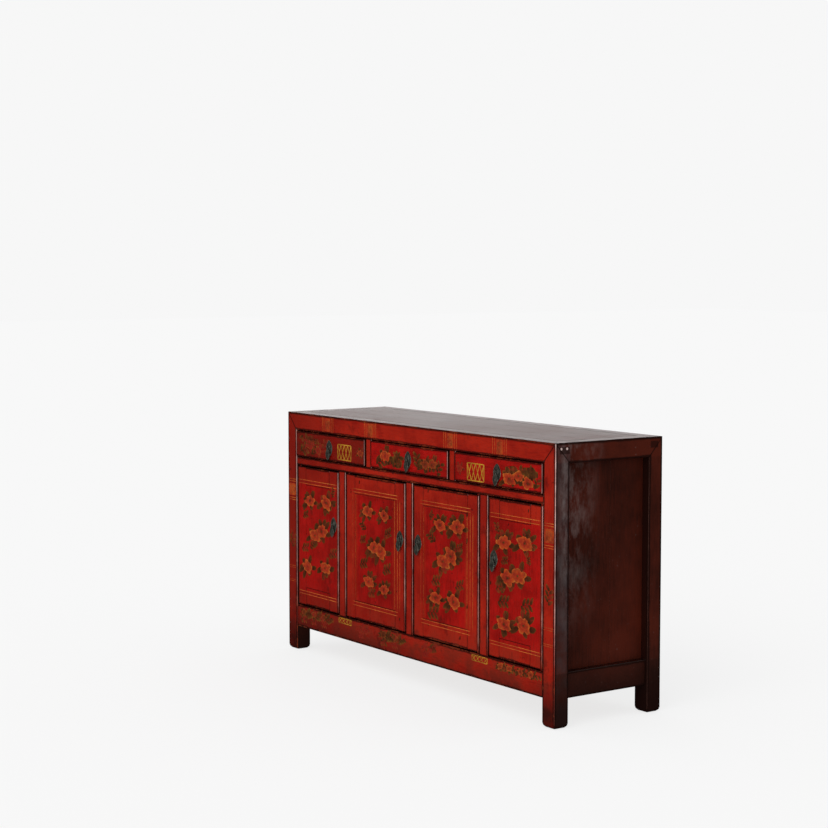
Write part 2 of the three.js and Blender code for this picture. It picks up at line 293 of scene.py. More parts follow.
def dark_film(f, noises):
    """Umber and oxblood, then each mark mixed in by its own mask. Gives the colour and the mask of
    the rubbing, which is also rougher."""
    broad, mottle, grain, speck = noises
    side, depth, height = f.axis("X"), f.axis("Y"), f.axis("Z")
    outward, from_front, from_back = side.size(), depth - FRONT, BACK - depth
    soft = f.noise(f.place(), 6.0, 5.0, 0.6)
    warmth = (broad * 0.35 + soft * 0.4 + grain * 0.25).over(0.40, 0.62)
    dark = f.mix(warmth + (height - TOP_Z).over(0.0, 5 * MM) * 0.4, UMBER, OXBLOOD)

    zone = (from_front - 0.004).over(0.0, 0.03) * (0.20 - from_front).over(0.0, 0.13)
    zone = zone * (height - 0.22).over(0.0, 0.40) * (outward - (RIGHT - 0.030)).over(0.0, 2 * MM)
    rubbed = f.noise(f.stretched((1, 2.2, 1.0)), 10.0, 7.0, 0.76).over(0.44, 0.72) * zone
    # painted sheen: the outer faces of the front posts are greyed, standing in for the pale room they would
    # mirror
    post_side_sheen = (outward - (RIGHT - 2 * MM)).over(0.0, MM) * mottle.over(0.30, 0.60)
    post_side_sheen = post_side_sheen * (POST[1] + 0.004 - from_front).over(0.0, 0.006)
    dark = f.mix(post_side_sheen * 0.6, dark, rgb(52, 48, 50))
    low_down = (LOW_RAIL_TOP + MM - height).over(0.0, 2 * MM)
    dark = f.mix(low_down * 0.45, dark, rgb(30, 16, 12))
    dark = f.mix(rubbed * 0.48, dark, CHALK_AND_HIGHLIGHT)
    dark = f.mix(speck.over(0.72, 0.76) * 0.25, dark, CHALK_AND_HIGHLIGHT)

    tenons = band(from_front, 0.015, 0.055, MM) + band(from_back, 0.018, 0.050, MM)
    tenons = tenons * band(height, 0.826, 0.848, MM) * (outward - (RIGHT - MM)).over(0, 0.5 * MM)
    dark = f.mix(tenons * 0.7, dark, SOOT_AND_SHADE)
    # painted highlight along the upper arris of the bottom side rails
    ledge_highlight = band(height, LOW_RAIL_TOP - 2 * MM, LOW_RAIL_TOP + MM, 0.5 * MM)
    ledge_highlight = ledge_highlight * band(outward, RIGHT - 0.013, RIGHT - 0.007, MM)
    dark = f.mix(ledge_highlight * 0.5, dark, CHALK_AND_HIGHLIGHT)
    apart, raised = (from_front - 0.033).size() - 0.011, height - 0.842
    pegs = (0.0045 - (apart * apart + raised * raised) ** 0.5).over(0, 1.5 * MM)
    pegs = pegs * (side - (RIGHT - MM)).over(0, 0.5 * MM)
    return f.mix(pegs * 0.7, dark, IVORY_AND_HIGHLIGHT), rubbed


print("dark film: umber with rubbed sides")

# %% [markdown]
# The two films meet by the direction that a surface faces, and wear comes on top: stains at the
# feet, dark arrises, partly handling dirt and partly painted shade that widens the gaps between
# members, with a few chips down to the rust-coloured ground, and dirt in the joints. Painted
# highlights run down the arrises that face right and the near corner of the right front post,
# and painted shade darkens dark faces that look to the front. The film itself is dull on
# upright faces and has a thin clear coat only on faces that look up, where it is polished by use.


# %% Old lacquer
def lacquer(name, stretch):
    """Red where a surface faces the front and dark elsewhere, worn at the edges, with painted highlights
    and painted shade laid on.
    """
    f = Finish(name)
    noises = weather(f, stretch)
    broad, mottle, grain, speck = noises
    side, depth, height = f.axis("X"), f.axis("Y"), f.axis("Z")
    edge, joint, highlight_facing = f.given("edge"), f.given("joint"), f.given("gleam")
    facing = (f.given("front") + (mottle - 0.5) * 0.5).over(0.42, 0.58)
    (red, browned), (dark, rubbed) = red_film(f, noises), dark_film(f, noises)

    colour = f.mix(facing, dark, red)
    stained = (0.15 - height).over(0.0, 0.10) * (mottle * 0.9 + 0.35)
    colour = f.mix(stained * 0.9, colour, SOOT_AND_SHADE)
    # arrises darkened: handling dirt, and painted shade that widens the dark lines of the gaps between
    # members
    handled_and_gap_shade = (edge * 1.05 + (mottle - 0.5) * 0.8 + (speck - 0.5) * 0.3).over(0.40, 0.72)
    colour = f.mix(handled_and_gap_shade * (1 - highlight_facing * 0.7) * 0.88, colour, SOOT_AND_SHADE)
    chipped = (edge * 0.5 + (mottle - 0.5) * 1.6 + (speck - 0.5) * 0.8).over(0.52, 0.60)
    colour = f.mix(chipped * facing * 0.25, colour, RUST)
    dirt = (joint * 0.9 + (mottle - 0.5) * 0.6).over(0.35, 0.75)
    colour = f.mix(dirt * 0.9, colour, SOOT_AND_SHADE)
    # painted highlight: pale lines down arrises turned to the right, towards the light, broken by noise and
    # dimmed low down
    highlight_dimmed_low = (0.55 - height).over(0.0, 0.4) * 0.25 + (0.24 - height).over(0.0, 0.14) * 0.5
    highlight_breakup = (mottle - 0.5) * 1.1 - highlight_dimmed_low
    gleam = (highlight_facing + highlight_breakup).over(0.45, 1.0) * edge.over(0.45, 0.9)
    # painted highlight down the near corner arris of the right front post
    corner = (side - (RIGHT - 2.2 * MM)).over(0, MM) * (FRONT + 2.6 * MM - depth).over(0, MM)
    corner = corner * (height - 0.30).over(0.0, 0.25) * mottle.over(0.38, 0.56)
    colour = f.mix(gleam * 0.46 + corner * 0.4, colour, IVORY_AND_HIGHLIGHT)
    # painted shade on dark faces that look to the front, such as the inner faces of the back posts
    colour = f.mix(f.given("sooty") * 0.85, colour, SOOT_AND_SHADE)

    rough = 0.30 - gleam * 0.14 + mottle * 0.16 + chipped * 0.12 + rubbed * 0.18 + browned * 0.2
    relief = grain * 0.5 + mottle * 0.35 + speck * 0.12 - chipped * 0.25
    return f.set(
        Base_Color=colour,
        Roughness=rough,
        Normal=f.bump(relief, 0.35 * MM, 0.55),
        Specular_IOR_Level=0.12,
        Specular_Tint=(1.0, 0.45, 0.35, 1.0),
        Coat_Weight=f.given("up").over(0.5, 0.95) * 0.25,
        Coat_Roughness=0.36,
    )


UPRIGHT = lacquer("lacquer_upright", (9.0, 9.0, 0.8))
LYING = lacquer("lacquer_lying", (0.8, 9.0, 9.0))
print("lacquers:", UPRIGHT.name, LYING.name)

# %% [markdown]
# The top is the same dark lacquer, thinned by years of use until the boards' grain shows. It is
# its own finish, smooth enough to mirror the pale room at a low angle, with long faint scratches.
# The insides of drawers are bare elm, and the pulls are blackened iron.


# %% The top's lacquer, bare wood and iron
def top_lacquer():
    """Dark brown film over long grain, with fine scratches along it."""
    f = Finish("lacquer_top")
    place = f.place()
    grain = f.noise(f.stretched((0.5, 16.0, 1.0)), 16.0, 5.0, 0.62, 0.5)
    broad = f.noise(place, 3.2, 4.0, 0.6)
    speck = f.noise(place, 120.0, 2.0, 0.6)
    scratch = f.noise(f.stretched((0.25, 26.0, 1.0)), 42.0, 2.0, 0.5).over(0.66, 0.72)
    colour = f.mix((grain * 0.6 + broad * 0.4).over(0.36, 0.64), rgb(46, 20, 15), rgb(94, 46, 32))
    colour = f.mix(scratch * 0.25, colour, CHALK_AND_HIGHLIGHT)
    worn = (f.given("edge") * 0.6 + (speck - 0.5) + (broad - 0.5)).over(0.45, 0.7)
    colour = f.mix(worn * 0.4, colour, rgb(120, 70, 44))
    rough = 0.30 + broad * 0.14 + speck * 0.06 + scratch * 0.15
    normal = f.bump(grain * 0.6 + broad * 0.3 - scratch * 0.2, 0.3 * MM, 0.5)
    return f.set(Base_Color=colour, Roughness=rough, Normal=normal, Specular_IOR_Level=0.5)


def bare_wood(name, stretch):
    """Dry, unfinished elm: brown rings stretched along the board, darker pores and a dull face."""
    f = Finish(name)
    rings = f.noise(f.stretched(stretch), 9.0, 5.0, 0.6, 1.2)
    pores = f.noise(f.stretched(tuple(3 * s for s in stretch)), 40.0, 2.0, 0.5).over(0.56, 0.70)
    broad = f.noise(f.place(), 5.0, 3.0, 0.5)
    colour = f.mix(rings.over(0.36, 0.64), rgb(122, 84, 50), rgb(172, 132, 88))
    colour = f.mix(pores * 0.55, colour, rgb(74, 46, 26))
    colour = f.mix(broad.over(0.5, 0.7) * 0.4, colour, rgb(96, 66, 42))
    rough = 0.68 + rings * 0.18
    return f.set(Base_Color=colour, Roughness=rough, Normal=f.bump(rings - pores * 0.6, 0.4 * MM, 0.6))


def iron():
    """Blackened iron with a green-grey bloom, rubbed brighter on the rim and the middle rib."""
    f = Finish("old_iron")
    place = f.place()
    bloom = f.noise(place, 110.0, 5.0, 0.65)
    pits = f.noise(place, 520.0, 3.0, 0.6)
    rubbed = (f.given("edge") * 0.7 + (bloom - 0.5) * 1.2).over(0.35, 0.8)
    colour = f.mix(bloom.over(0.38, 0.62), rgb(36, 36, 30), rgb(68, 69, 60))
    colour = f.mix(pits.over(0.60, 0.72) * 0.5, colour, rgb(58, 32, 20))
    colour = f.mix(rubbed * 0.45, colour, rgb(102, 103, 94))
    rough = 0.52 - rubbed * 0.18 + pits * 0.12
    normal = f.bump(pits * 0.5 + bloom, 0.25 * MM, 0.7)
    return f.set(Base_Color=colour, Roughness=rough, Metallic=0.35, Normal=normal)


TOP = top_lacquer()
WOOD_X, WOOD_Y = bare_wood("bare_wood_x", (0.6, 7, 7)), bare_wood("bare_wood_y", (7, 0.6, 7))
IRON = iron()
print("other finishes:", TOP.name, WOOD_X.name, WOOD_Y.name, IRON.name)

# %% [markdown]
# Every member of the case is a bar with eased arrises. It could be a box with a Bevel modifier,
# but the corners here are three-way mitres, and each vertex has to know how near it is to an
# edge or a joint. So an outline is worked out once and carried along the bar as rings.


# %% A rounded outline
FADE = 6 * MM
SHARES = np.array([0.015, 0.05, 0.12, 0.26])
SHARES = np.concatenate([SHARES, [0.5], 1 - SHARES[::-1]])


def outline(low, high, radius, arc=4):
    """A rectangle with rounded corners, walked round once: at each corner its centre plus the
    radius times (cos a, sin a), then points that thin out towards the middle of the straight.
    Gives the points and a nearness to an arris, which dies away as e to the power of minus
    distance over FADE."""
    radius = np.broadcast_to(radius, 4)
    corner = np.array([[high[0], high[1]], [low[0], high[1]], [low[0], low[1]], [high[0], low[1]]])
    inward = np.array([[-1, -1], [1, -1], [1, 1], [-1, 1]])
    centre = corner + inward * radius[:, None]
    weight = np.clip(radius / (2 * MM), 0, 1)
    turn = np.radians(np.linspace(0, 90, arc + 1))
    points, near = [], []
    for k in range(4):
        ray = np.stack([np.cos(turn + k * np.pi / 2), np.sin(turn + k * np.pi / 2)], 1)
        after = (k + 1) % 4
        start, end = (centre[c] + radius[c] * ray[-1] for c in (k, after))
        gap = np.linalg.norm(end - start)
        points += [centre[k] + radius[k] * ray, start + (end - start) * SHARES[:, None]]
        from_start = weight[k] * np.exp(-SHARES * gap / FADE)
        from_end = weight[after] * np.exp((SHARES - 1) * gap / FADE)
        near += [np.full(arc + 1, weight[k]), np.maximum(from_start, from_end)]
    return np.concatenate(points), np.concatenate(near)


print("outline points", len(outline((0, 0), (1, 1), 0.1)[0]))

# %% [markdown]
# A skin over a row of rings needs only their numbers: quads between neighbouring rings, and a fan
# of triangles to a middle point at each end, so that every piece is closed.


# %% Faces over rings
def walls(rows, count):
    """The quads between neighbouring rings of a grid that wraps round once."""
    r, c = np.arange(rows - 1)[:, None] * count, np.arange(count)[None]
    n = (c + 1) % count
    return np.stack([r + c, r + n, r + count + n, r + count + c], -1).reshape(-1, 4)


def fans(rows, count):
    """Triangles from each end ring to its own middle point, which follow the rings in the list."""
    c = np.arange(count)
    n, first, last = (c + 1) % count, rows * count, rows * count + 1
    top = c + (rows - 1) * count
    start = np.stack([n, c, np.full(count, first)], 1)
    end = np.stack([top, n + (rows - 1) * count, np.full(count, last)], 1)
    return np.concatenate([start, end])


print("faces of three rings of four", len(walls(3, 4)) + len(fans(3, 4)))

# %% [markdown]
# A bar is the outline repeated along one axis, with its rings close together near the ends. An end
# is eased, as at a foot, or cut on a slant, as at a mitre, or left square against a neighbour,
# where a joint's dirt gathers. Marks are numbers that the whole bar carries for its finish.


# %% A bar: the outline carried along one axis
RING_STEPS = np.array([1.5, 5, 12]) * MM
DIRT = 3.5 * MM


def bar(axis, low, high, radius=2.5 * MM, ease=(0, 0), cut=(None, None), **marks):
    """Rings of the outline from one end to the other. At an eased end the rings draw in along a
    quarter circle, so a ring set back by ease * (1 - cos a) is narrower by ease * (1 - sin a) on
    each side. At a cut end each point is set back by the cut's own formula. Two fans close it."""
    i, j = [k for k in range(3) if k != axis]
    low, high = np.array(low, float), np.array(high, float)
    shape, near = outline(low[[i, j]], high[[i, j]], radius)
    middle, half = (low + high)[[i, j]] / 2, (high - low)[[i, j]] / 2

    def end_rings(side):
        """The rings near one end, how far along they lie, and their nearness to edge and joint."""
        edge_like = ease[side] > 0
        turn = np.radians([0, 30, 60, 90] if edge_like else [0])
        back = np.concatenate([ease[side] * (1 - np.cos(turn)), ease[side] + RING_STEPS])
        inset = np.concatenate([ease[side] * (1 - np.sin(turn)) * edge_like, np.zeros(3)])
        rings = middle + (shape - middle) * (1 - inset[:, None, None] / half)
        setback = back[:, None] + (cut[side](rings) if cut[side] else 0)
        along = low[axis] + setback if side == 0 else high[axis] - setback
        fade = np.exp(-back / FADE)[:, None]
        edge = np.maximum(near, fade) if edge_like else np.broadcast_to(near, (len(back), len(near)))
        dirt = 0 * fade if edge_like else np.exp(-back / DIRT)[:, None]
        joint = np.broadcast_to(dirt, edge.shape)
        return rings, np.broadcast_to(along, edge.shape), edge, joint

    first, last = end_rings(0), end_rings(1)
    ring, along, edge, joint = (np.concatenate([a, b[::-1]]) for a, b in zip(first, last))
    points = np.zeros((*along.shape, 3))
    points[..., [i, j]], points[..., axis] = ring, along
    caps = np.zeros((2, 3))
    caps[:, [i, j]] = middle
    lids = [np.ravel(cut[side](middle[None]))[0] if cut[side] else 0 for side in (0, 1)]
    caps[:, axis] = low[axis] + lids[0], high[axis] - lids[1]
    rows, count = along.shape
    values = {"edge": edge.ravel(), "joint": joint.ravel()}
    values = {key: np.append(value, [0, 0]) for key, value in values.items()}
    values |= {key: np.full(rows * count + 2, value, float) for key, value in marks.items()}
    faces = [walls(rows, count), fans(rows, count)]
    return np.concatenate([points.reshape(-1, 3), caps]), faces, values


print("points of a plain bar", len(bar(0, (0, 0, 0), (1, 1, 1))[0]))

# %% [markdown]
# Several bars often make one piece, such as the four members of a door's frame. Joining them keeps
# one object for each piece that moves or comes apart by itself. An object is made the same way for
# all of them: points and faces into a mesh, values onto its vertices, normals outward, and then it
# is told which body it rides on and which pieces of the part it stands for.


# %% Make an object from bars or strokes
def joined(*parts):
    """One set of points, faces and values from several, with the faces renumbered."""
    keys = sorted({key for part in parts for key in part[2]})
    starts = np.cumsum([0] + [len(part[0]) for part in parts])
    faces = [group + start for start, part in zip(starts, parts) for group in part[1]]
    values = {}
    for key in keys:
        values[key] = np.concatenate([part[2].get(key, np.zeros(len(part[0]))) for part in parts])
    return np.concatenate([part[0] for part in parts]), faces, values


def store(mesh, label, numbers):
    """Keeps one number for each vertex of a mesh, for its finish to read."""
    attribute = mesh.attributes.new(label, "FLOAT", "POINT")
    attribute.data.foreach_set("value", numbers.astype(np.float32))


def shown(mesh, red):
    """Stores how squarely each point faces the front, and how much it is turned to the right, where
    arrises get a painted highlight. Pieces that aren't red get painted shade where they face the
    front, in the corners behind the posts."""
    turned_to = np.empty(3 * len(mesh.vertices), np.float32)
    mesh.vertex_normals.foreach_get("vector", turned_to)
    x, y, z = turned_to.reshape(-1, 3).T
    square, right = np.clip(-y, 0, 1), np.clip(-2 * x * y, 0, 1) * (x > 0)
    store(mesh, "front", square * red)
    # painted highlight on faces turned to the right and front, painted shade on dark faces turned to the
    # front
    store(mesh, "gleam", right * red)
    store(mesh, "sooty", square * (1 - red))
    store(mesh, "up", np.clip(z, 0, 1))


def make(name, made, finish, body, stands_for=(), slot=None, crease=40, red=0.0):
    """A closed, smooth-shaded object that rides on a body and stands for pieces of the part."""
    points, faces, values = made
    mesh = bpy.data.meshes.new(name)
    mesh.from_pydata(points.tolist(), [], sum((group.tolist() for group in faces), []))
    for label, numbers in values.items():
        store(mesh, label, numbers)
    work = bmesh.new()
    work.from_mesh(mesh)
    bmesh.ops.remove_doubles(work, verts=work.verts, dist=1e-6)
    bmesh.ops.recalc_face_normals(work, faces=work.faces)
    work.to_mesh(mesh)
    work.free()
    shown(mesh, red)
    mesh.polygons.foreach_set("use_smooth", np.ones(len(mesh.polygons), bool))
    mesh.set_sharp_from_angle(angle=math.radians(crease))
    mesh.materials.append(finish)
    obj = bpy.data.objects.new(name, mesh)
    bpy.context.scene.collection.objects.link(obj)
    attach(obj, body)
    if stands_for:
        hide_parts(*stands_for)
    return obj


print("a mesh keeps these of its normals: front, gleam, sooty, up")

# %% [markdown]
# Posts and top rails meet in three-way mitres. Measured in from the outer corner as a share of the
# member's width, depth and height, each member keeps the part where its own share is the largest,
# so its end is set back by the larger of the other two shares.


# %% Posts
def nearest_share(value, edges, width):
    """How far a value is inside the nearer of two outer edges, as a share of a member's width."""
    return np.minimum(np.abs(value - edges[0]), np.abs(value - edges[1])) / width


def post_top(p):
    """The top rails' height times the larger of the shares across and along the depth."""
    across = nearest_share(p[..., 0], (LEFT, RIGHT), POST[0])
    inward = nearest_share(p[..., 1], (FRONT, BACK), POST[1])
    return TOP_H * np.maximum(across, inward)


FOOT = 15 * MM  # how high up a foot is rounded off by wear
for place in ("front_left", "front_right", "back_left", "back_right"):
    low, high = reach(f"post_{place}")
    post = bar(2, low, high, 3.5 * MM, ease=(FOOT, 0), cut=(None, post_top))
    make(f"post_{place}_wood", post, UPRIGHT, "case", [f"post_{place}"], "red_lacquer", red=place[0] == "f")
print("posts", POST)

# %% [markdown]
# The top rails meet the posts and one another on the same slanting planes, less a hair's breadth
# for the open joint. The long ones could stop square against the short ones, as on plainer work,
# but here the mitre shows on all three faces of a corner.


# %% Top rails
def long_end(p):
    """A post's width times the larger of the shares inward and down, and the seam."""
    inward = nearest_share(p[..., 0], (FRONT, BACK), POST[1])
    return POST[0] * np.maximum(inward, (HEIGHT - p[..., 1]) / TOP_H) + SEAM


def short_end(p):
    """A post's depth times the larger of the shares across and down, and the seam."""
    across = nearest_share(p[..., 0], (LEFT, RIGHT), POST[0])
    return POST[1] * np.maximum(across, (HEIGHT - p[..., 1]) / TOP_H) + SEAM


for place, y in (("front", FRONT), ("back", BACK - POST[1])):
    node = f"top_rail_{place}"
    rail = bar(0, (LEFT, y, TOP_Z), (RIGHT, y + POST[1], HEIGHT), 3 * MM, cut=(long_end, long_end))
    make(f"{node}_wood", rail, LYING, "case", [node], "red_lacquer", red=place == "front")
for place, x in (("left", LEFT), ("right", RIGHT - POST[0])):
    node = f"top_rail_{place}"
    rail = bar(1, (x, FRONT, TOP_Z), (x + POST[0], BACK, HEIGHT), 3 * MM, cut=(short_end, short_end))
    make(f"{node}_wood", rail, LYING, "case", [node], "dark_lacquer")
print("top rails", (TOP_H / MM).round(1), "mm high")

# %% [markdown]
# The top is three boards glued edge to edge. Their joints have opened by a hair, so each board is
# its own bar with barely eased edges, and the light catches the two seams.


# %% Boards: the top, the sides and the back
def boards(node, axis, across, shares, radius, **marks):
    """One bar for each board of a panel, between shares of its width."""
    low, high = reach(node)
    edges = low[across] + (high[across] - low[across]) * np.array(shares)
    for start, end in zip(edges[:-1], edges[1:]):
        a, b = low.copy(), high.copy()
        a[across], b[across] = start, end - 0.4 * MM
        yield bar(axis, a, b, radius, **marks)


planks = joined(*boards("top_board", 0, 1, [0, 0.36, 0.69, 1], 0.7 * MM))
make("top_planks", planks, TOP, "case", ["top_board"], "dark_lacquer")
for side, shares in (("left", [0, 0.45, 1]), ("right", [0, 0.58, 1])):
    panel = joined(*boards(f"side_panel_{side}", 2, 1, shares, 0.6 * MM))
    make(f"side_panel_{side}_boards", panel, UPRIGHT, "case", [f"side_panel_{side}"], "dark_lacquer")
rear = joined(*boards("back_panel", 0, 2, [0, 0.3, 0.64, 1], 1 * MM))
make("back_boards", rear, LYING, "case", ["back_panel"], "dark_lacquer")
print("boards: three in the top, two in each side, three at the back")

# %% [markdown]
# The members between the openings sit a little behind the posts. They are plain bars whose ends
# run into their neighbours, so those ends get a joint's dirt and no easing.

# %% Rails and dividers
LYING_MEMBERS = {
    "drawer_rail_front": "red_lacquer",
    "bottom_rail_front": "red_lacquer",
    "bottom_rail_back": "dark_lacquer",
}
STANDING_MEMBERS = [
    "drawer_divider_1",
    "drawer_divider_2",
    "door_divider_left",
    "centre_mullion",
    "door_divider_right",
]
for node, slot in LYING_MEMBERS.items():
    make(f"{node}_wood", bar(0, *reach(node)), LYING, "case", [node], slot, red="front" in node)
for node in STANDING_MEMBERS:
    make(f"{node}_wood", bar(2, *reach(node)), UPRIGHT, "case", [node], "red_lacquer", red=True)
for side in ("left", "right"):
    node = f"bottom_rail_{side}"
    make(f"{node}_wood", bar(1, *reach(node)), LYING, "case", [node], "dark_lacquer")
print("members", len(LYING_MEMBERS) + len(STANDING_MEMBERS) + 2)

# %% [markdown]
# Drawers: a lacquered front with all its arrises eased, and a plain wooden box behind it. The
# first drawer's lacquer has gone brown and dull with handling, so it is marked as faded.

# %% Drawers
DRAWER_WALL = 10 * MM
for name in DRAWERS:
    low, high = reach(f"{name}_front")
    front = bar(0, low, high, 2 * MM, ease=(2 * MM, 2 * MM), deep=1.0, faded=float(name == "drawer_1"))
    make(f"{name}_face", front, LYING, name, [f"{name}_front"], "red_lacquer", red=True)
    low, high = reach(f"{name}_box")
    inner_left, inner_right = low[0] + DRAWER_WALL, high[0] - DRAWER_WALL
    left = bar(1, low, (inner_left, high[1], high[2]), 1 * MM)
    right = bar(1, (inner_right, low[1], low[2]), high, 1 * MM)
    back_low = (inner_left, high[1] - DRAWER_WALL, low[2])
    back_high = (inner_right, high[1], high[2] - 2 * MM)
    back = bar(0, back_low, back_high, 1 * MM)
    make(f"{name}_sides", joined(left, right), WOOD_Y, name, [f"{name}_box"], "bare_wood")
    bottom = joined(back, *boards(f"{name}_bottom", 0, 1, [0, 0.5, 1], 0.4 * MM))
    make(f"{name}_floor", bottom, WOOD_X, name, [f"{name}_bottom"], "bare_wood")
print("drawers", len(DRAWERS))

# %% [markdown]
# A door turns on two wooden pivots at the top and the bottom of its hinge stile, with no metal
# hinge to be seen. Each shows as a short peg: a profile of radius and height turned about an
# upright axis, as on a lathe.


# %% Pegs, by turning a profile about an upright axis
def turned(x, y, profile, count=20):
    """Rings of radius r at height z about an upright axis, closed where the radius is nought."""
    radius, height = np.array(profile, float).T
    angle = np.linspace(0, 2 * np.pi, count, endpoint=False)
    rings = [
        x + radius[:, None] * np.cos(angle),
        y + radius[:, None] * np.sin(angle),
        np.broadcast_to(height[:, None], (len(height), count)),
    ]
    return np.stack(rings, -1).reshape(-1, 3), [walls(len(height), count)], {}


PIVOT_IN, PEG_R, PEG_L = 10 * MM, 5 * MM, 4.6 * MM
PEG = [(0, 0), (PEG_R, 0), (PEG_R, PEG_L), (0, PEG_L)]


def peg(x, y, z):
    """A plain pin that stands on a height z."""
    return turned(x, y, [(radius, z + rise) for radius, rise in PEG])


print("a peg is", PEG_L / MM, "mm long")

# %% [markdown]
# Doors: two full-height stiles with two rails between them, round a flush panel. The outer
# arrises are well rounded and the inner ones almost sharp, so the panel reads through the lacquer
# as a hairline. The numbers that bound a door's crimson field go onto its vertices here: the outer
# doors are crimson nearly to their edges, and the inner ones only between their stiles.


# %% Doors
STILE, RAIL = 55 * MM, 62 * MM
SOFT, CRISP, HAIR = 3 * MM, 0.25 * MM, 0.1 * MM
OUTER_DOORS, LEFT_HUNG = ("door_1", "door_4"), ("door_1", "door_2")


def frame_bars(x0, x1, y0, y1, z0, z1):
    """Two stiles and two rails, soft outside and crisp inside. An outline's corners are high high,
    low high, low low and high low, in X then Y, or Y then Z."""
    soft_left, soft_right = (CRISP, SOFT, SOFT, CRISP), (SOFT, CRISP, CRISP, SOFT)
    soft_top, soft_bottom = (SOFT, SOFT, CRISP, CRISP), (CRISP, CRISP, SOFT, SOFT)
    yield bar(2, (x0, y0, z0), (x0 + STILE, y1, z1), soft_left, ease=(SOFT, SOFT))
    yield bar(2, (x1 - STILE, y0, z0), (x1, y1, z1), soft_right, ease=(SOFT, SOFT))
    inner0, inner1 = x0 + STILE + HAIR, x1 - STILE - HAIR
    yield bar(0, (inner0, y0, z1 - RAIL), (inner1, y1, z1), soft_top)
    yield bar(0, (inner0, y0, z0), (inner1, y1, z0 + RAIL), soft_bottom)


def with_field(made, name, centre):
    """Adds the place across the door, half the field's width, and the heights it runs between."""
    half, start, end = (0.123, 0.222, 0.611) if name in OUTER_DOORS else (0.107, 0.235, 0.603)
    made[2]["across"] = made[0][:, 0] - centre
    for key, value in (("half", half), ("from", start), ("to", end)):
        made[2][key] = np.full(len(made[0]), value)
    return made


DOOR_FOOT = reach("door_1_panel")[0][2] - SEAM - RAIL
DOOR_HEAD = reach("door_1_panel")[1][2] + SEAM + RAIL
for name in DOORS:
    (x0, y0, _), (x1, y1, _) = reach(f"{name}_frame")
    peg_x = x0 + PIVOT_IN if name in LEFT_HUNG else x1 - PIVOT_IN
    pegs = [peg(peg_x, y0 + PIVOT_IN, z) for z in (DOOR_FOOT + MM - PEG_L, DOOR_HEAD - MM)]
    members = joined(*frame_bars(x0, x1, y0, y1, DOOR_FOOT, DOOR_HEAD), *pegs)
    wood = with_field(members, name, (x0 + x1) / 2)
    make(f"{name}_frame_wood", wood, UPRIGHT, name, [f"{name}_frame"], "red_lacquer", red=True)
    wood = with_field(bar(2, *reach(f"{name}_panel"), CRISP), name, (x0 + x1) / 2)
    make(f"{name}_panel_wood", wood, UPRIGHT, name, [f"{name}_panel"], "panel_lacquer", red=True)
print("doors", len(DOORS), "from", DOOR_FOOT.round(4), "to", DOOR_HEAD.round(4))

# %% [markdown]
# The painting is laid on in strokes, and so is this one. A stroke is a thin lens: its width and
# thickness rise and fall along its length, so a petal, a leaf, a ruled gold line and a lattice
# bar differ only in a few numbers. They could be an image, but strokes keep a clean edge at any
# distance and stand a little proud, as thick paint does. The strokes on one face are one piece.


# %% Strokes, many at once
RINGS = 8  # round a stroke, and along it
DOTS = RINGS * RINGS
ALONG = (1 - np.cos(np.linspace(0, np.pi, RINGS))) / 2
ROUND = np.linspace(0, 2 * np.pi, RINGS, endpoint=False)
THICK = 0.28 * MM
PETAL, LEAF, GOLD, GILT = 0, 1, 2, 3


def stroke_faces(count):
    """The quads of a number of strokes, ring to ring."""
    return (walls(RINGS, RINGS)[None] + DOTS * np.arange(count)[:, None, None]).reshape(-1, 4)


def strokes(
    x, z, angle, length, width, lean=1.0, square=2.0, kind=PETAL, shade=(0.2, 1.0), lift=0.0, fade=0.0
):
    """For a share s of its length and an angle a round it, a stroke's point is s times the length
    along, half the width times w(s) cos a across, and the thickness times w(s) sin a outward,
    where t is s to the power lean and w is the root of 1 - |2t - 1| to the power square."""
    given = (np.atleast_1d(np.asarray(v, float)) for v in (x, z, angle, length, width, lift))
    x, z, angle, length, width, lift = (v[:, None, None] for v in np.broadcast_arrays(*given))
    swell = np.sqrt(np.clip(1 - np.abs(2 * ALONG**lean - 1) ** square, 0, 1))[None, :, None]
    forward = length * ALONG[None, :, None] + 0 * ROUND
    across = width / 2 * swell * np.cos(ROUND)
    proud = THICK * swell * np.sin(ROUND) + lift
    c, s = np.cos(angle), np.sin(angle)
    points = np.stack([x + forward * c - across * s, -proud, z + forward * s + across * c], -1)
    rim = np.abs(np.cos(ROUND)) ** 3
    tone = shade[0] + (shade[1] - shade[0]) * np.clip(0.75 * ALONG[:, None] + 0.4 * rim, 0, 1)
    count, whole = len(x), np.ones(len(x) * DOTS)
    values = {"shade": np.tile(tone.ravel(), count), "kind": whole * kind, "fade": whole * fade}
    return points.reshape(-1, 3), [stroke_faces(count)], values


print("quads in a stroke", len(stroke_faces(1)))

# %% [markdown]
# Flowers are open peonies: two rings of petals, the second shorter, turned a little and lying
# higher, with pale rims and a dark heart. Leaves look out from behind, and sprigs of small
# leaves fill the ground between. Lines and trellises are strokes too, with blunt ends.


# %% Flowers, leaves and sprigs
def circle(count, turn):
    """Even angles round a circle, from a first one."""
    return turn + np.arange(count) * 2 * np.pi / count


PETAL_RINGS = (  # petals, start, length and breadth as shares of the size, shades, lift
    (6, 0.16, 0.64, 0.68, (0.05, 0.95), 0.12 * MM),
    (5, 0.04, 0.42, 0.44, (0.0, 0.75), 0.22 * MM),
)
WIDER, LOWER = 1.26, 0.92


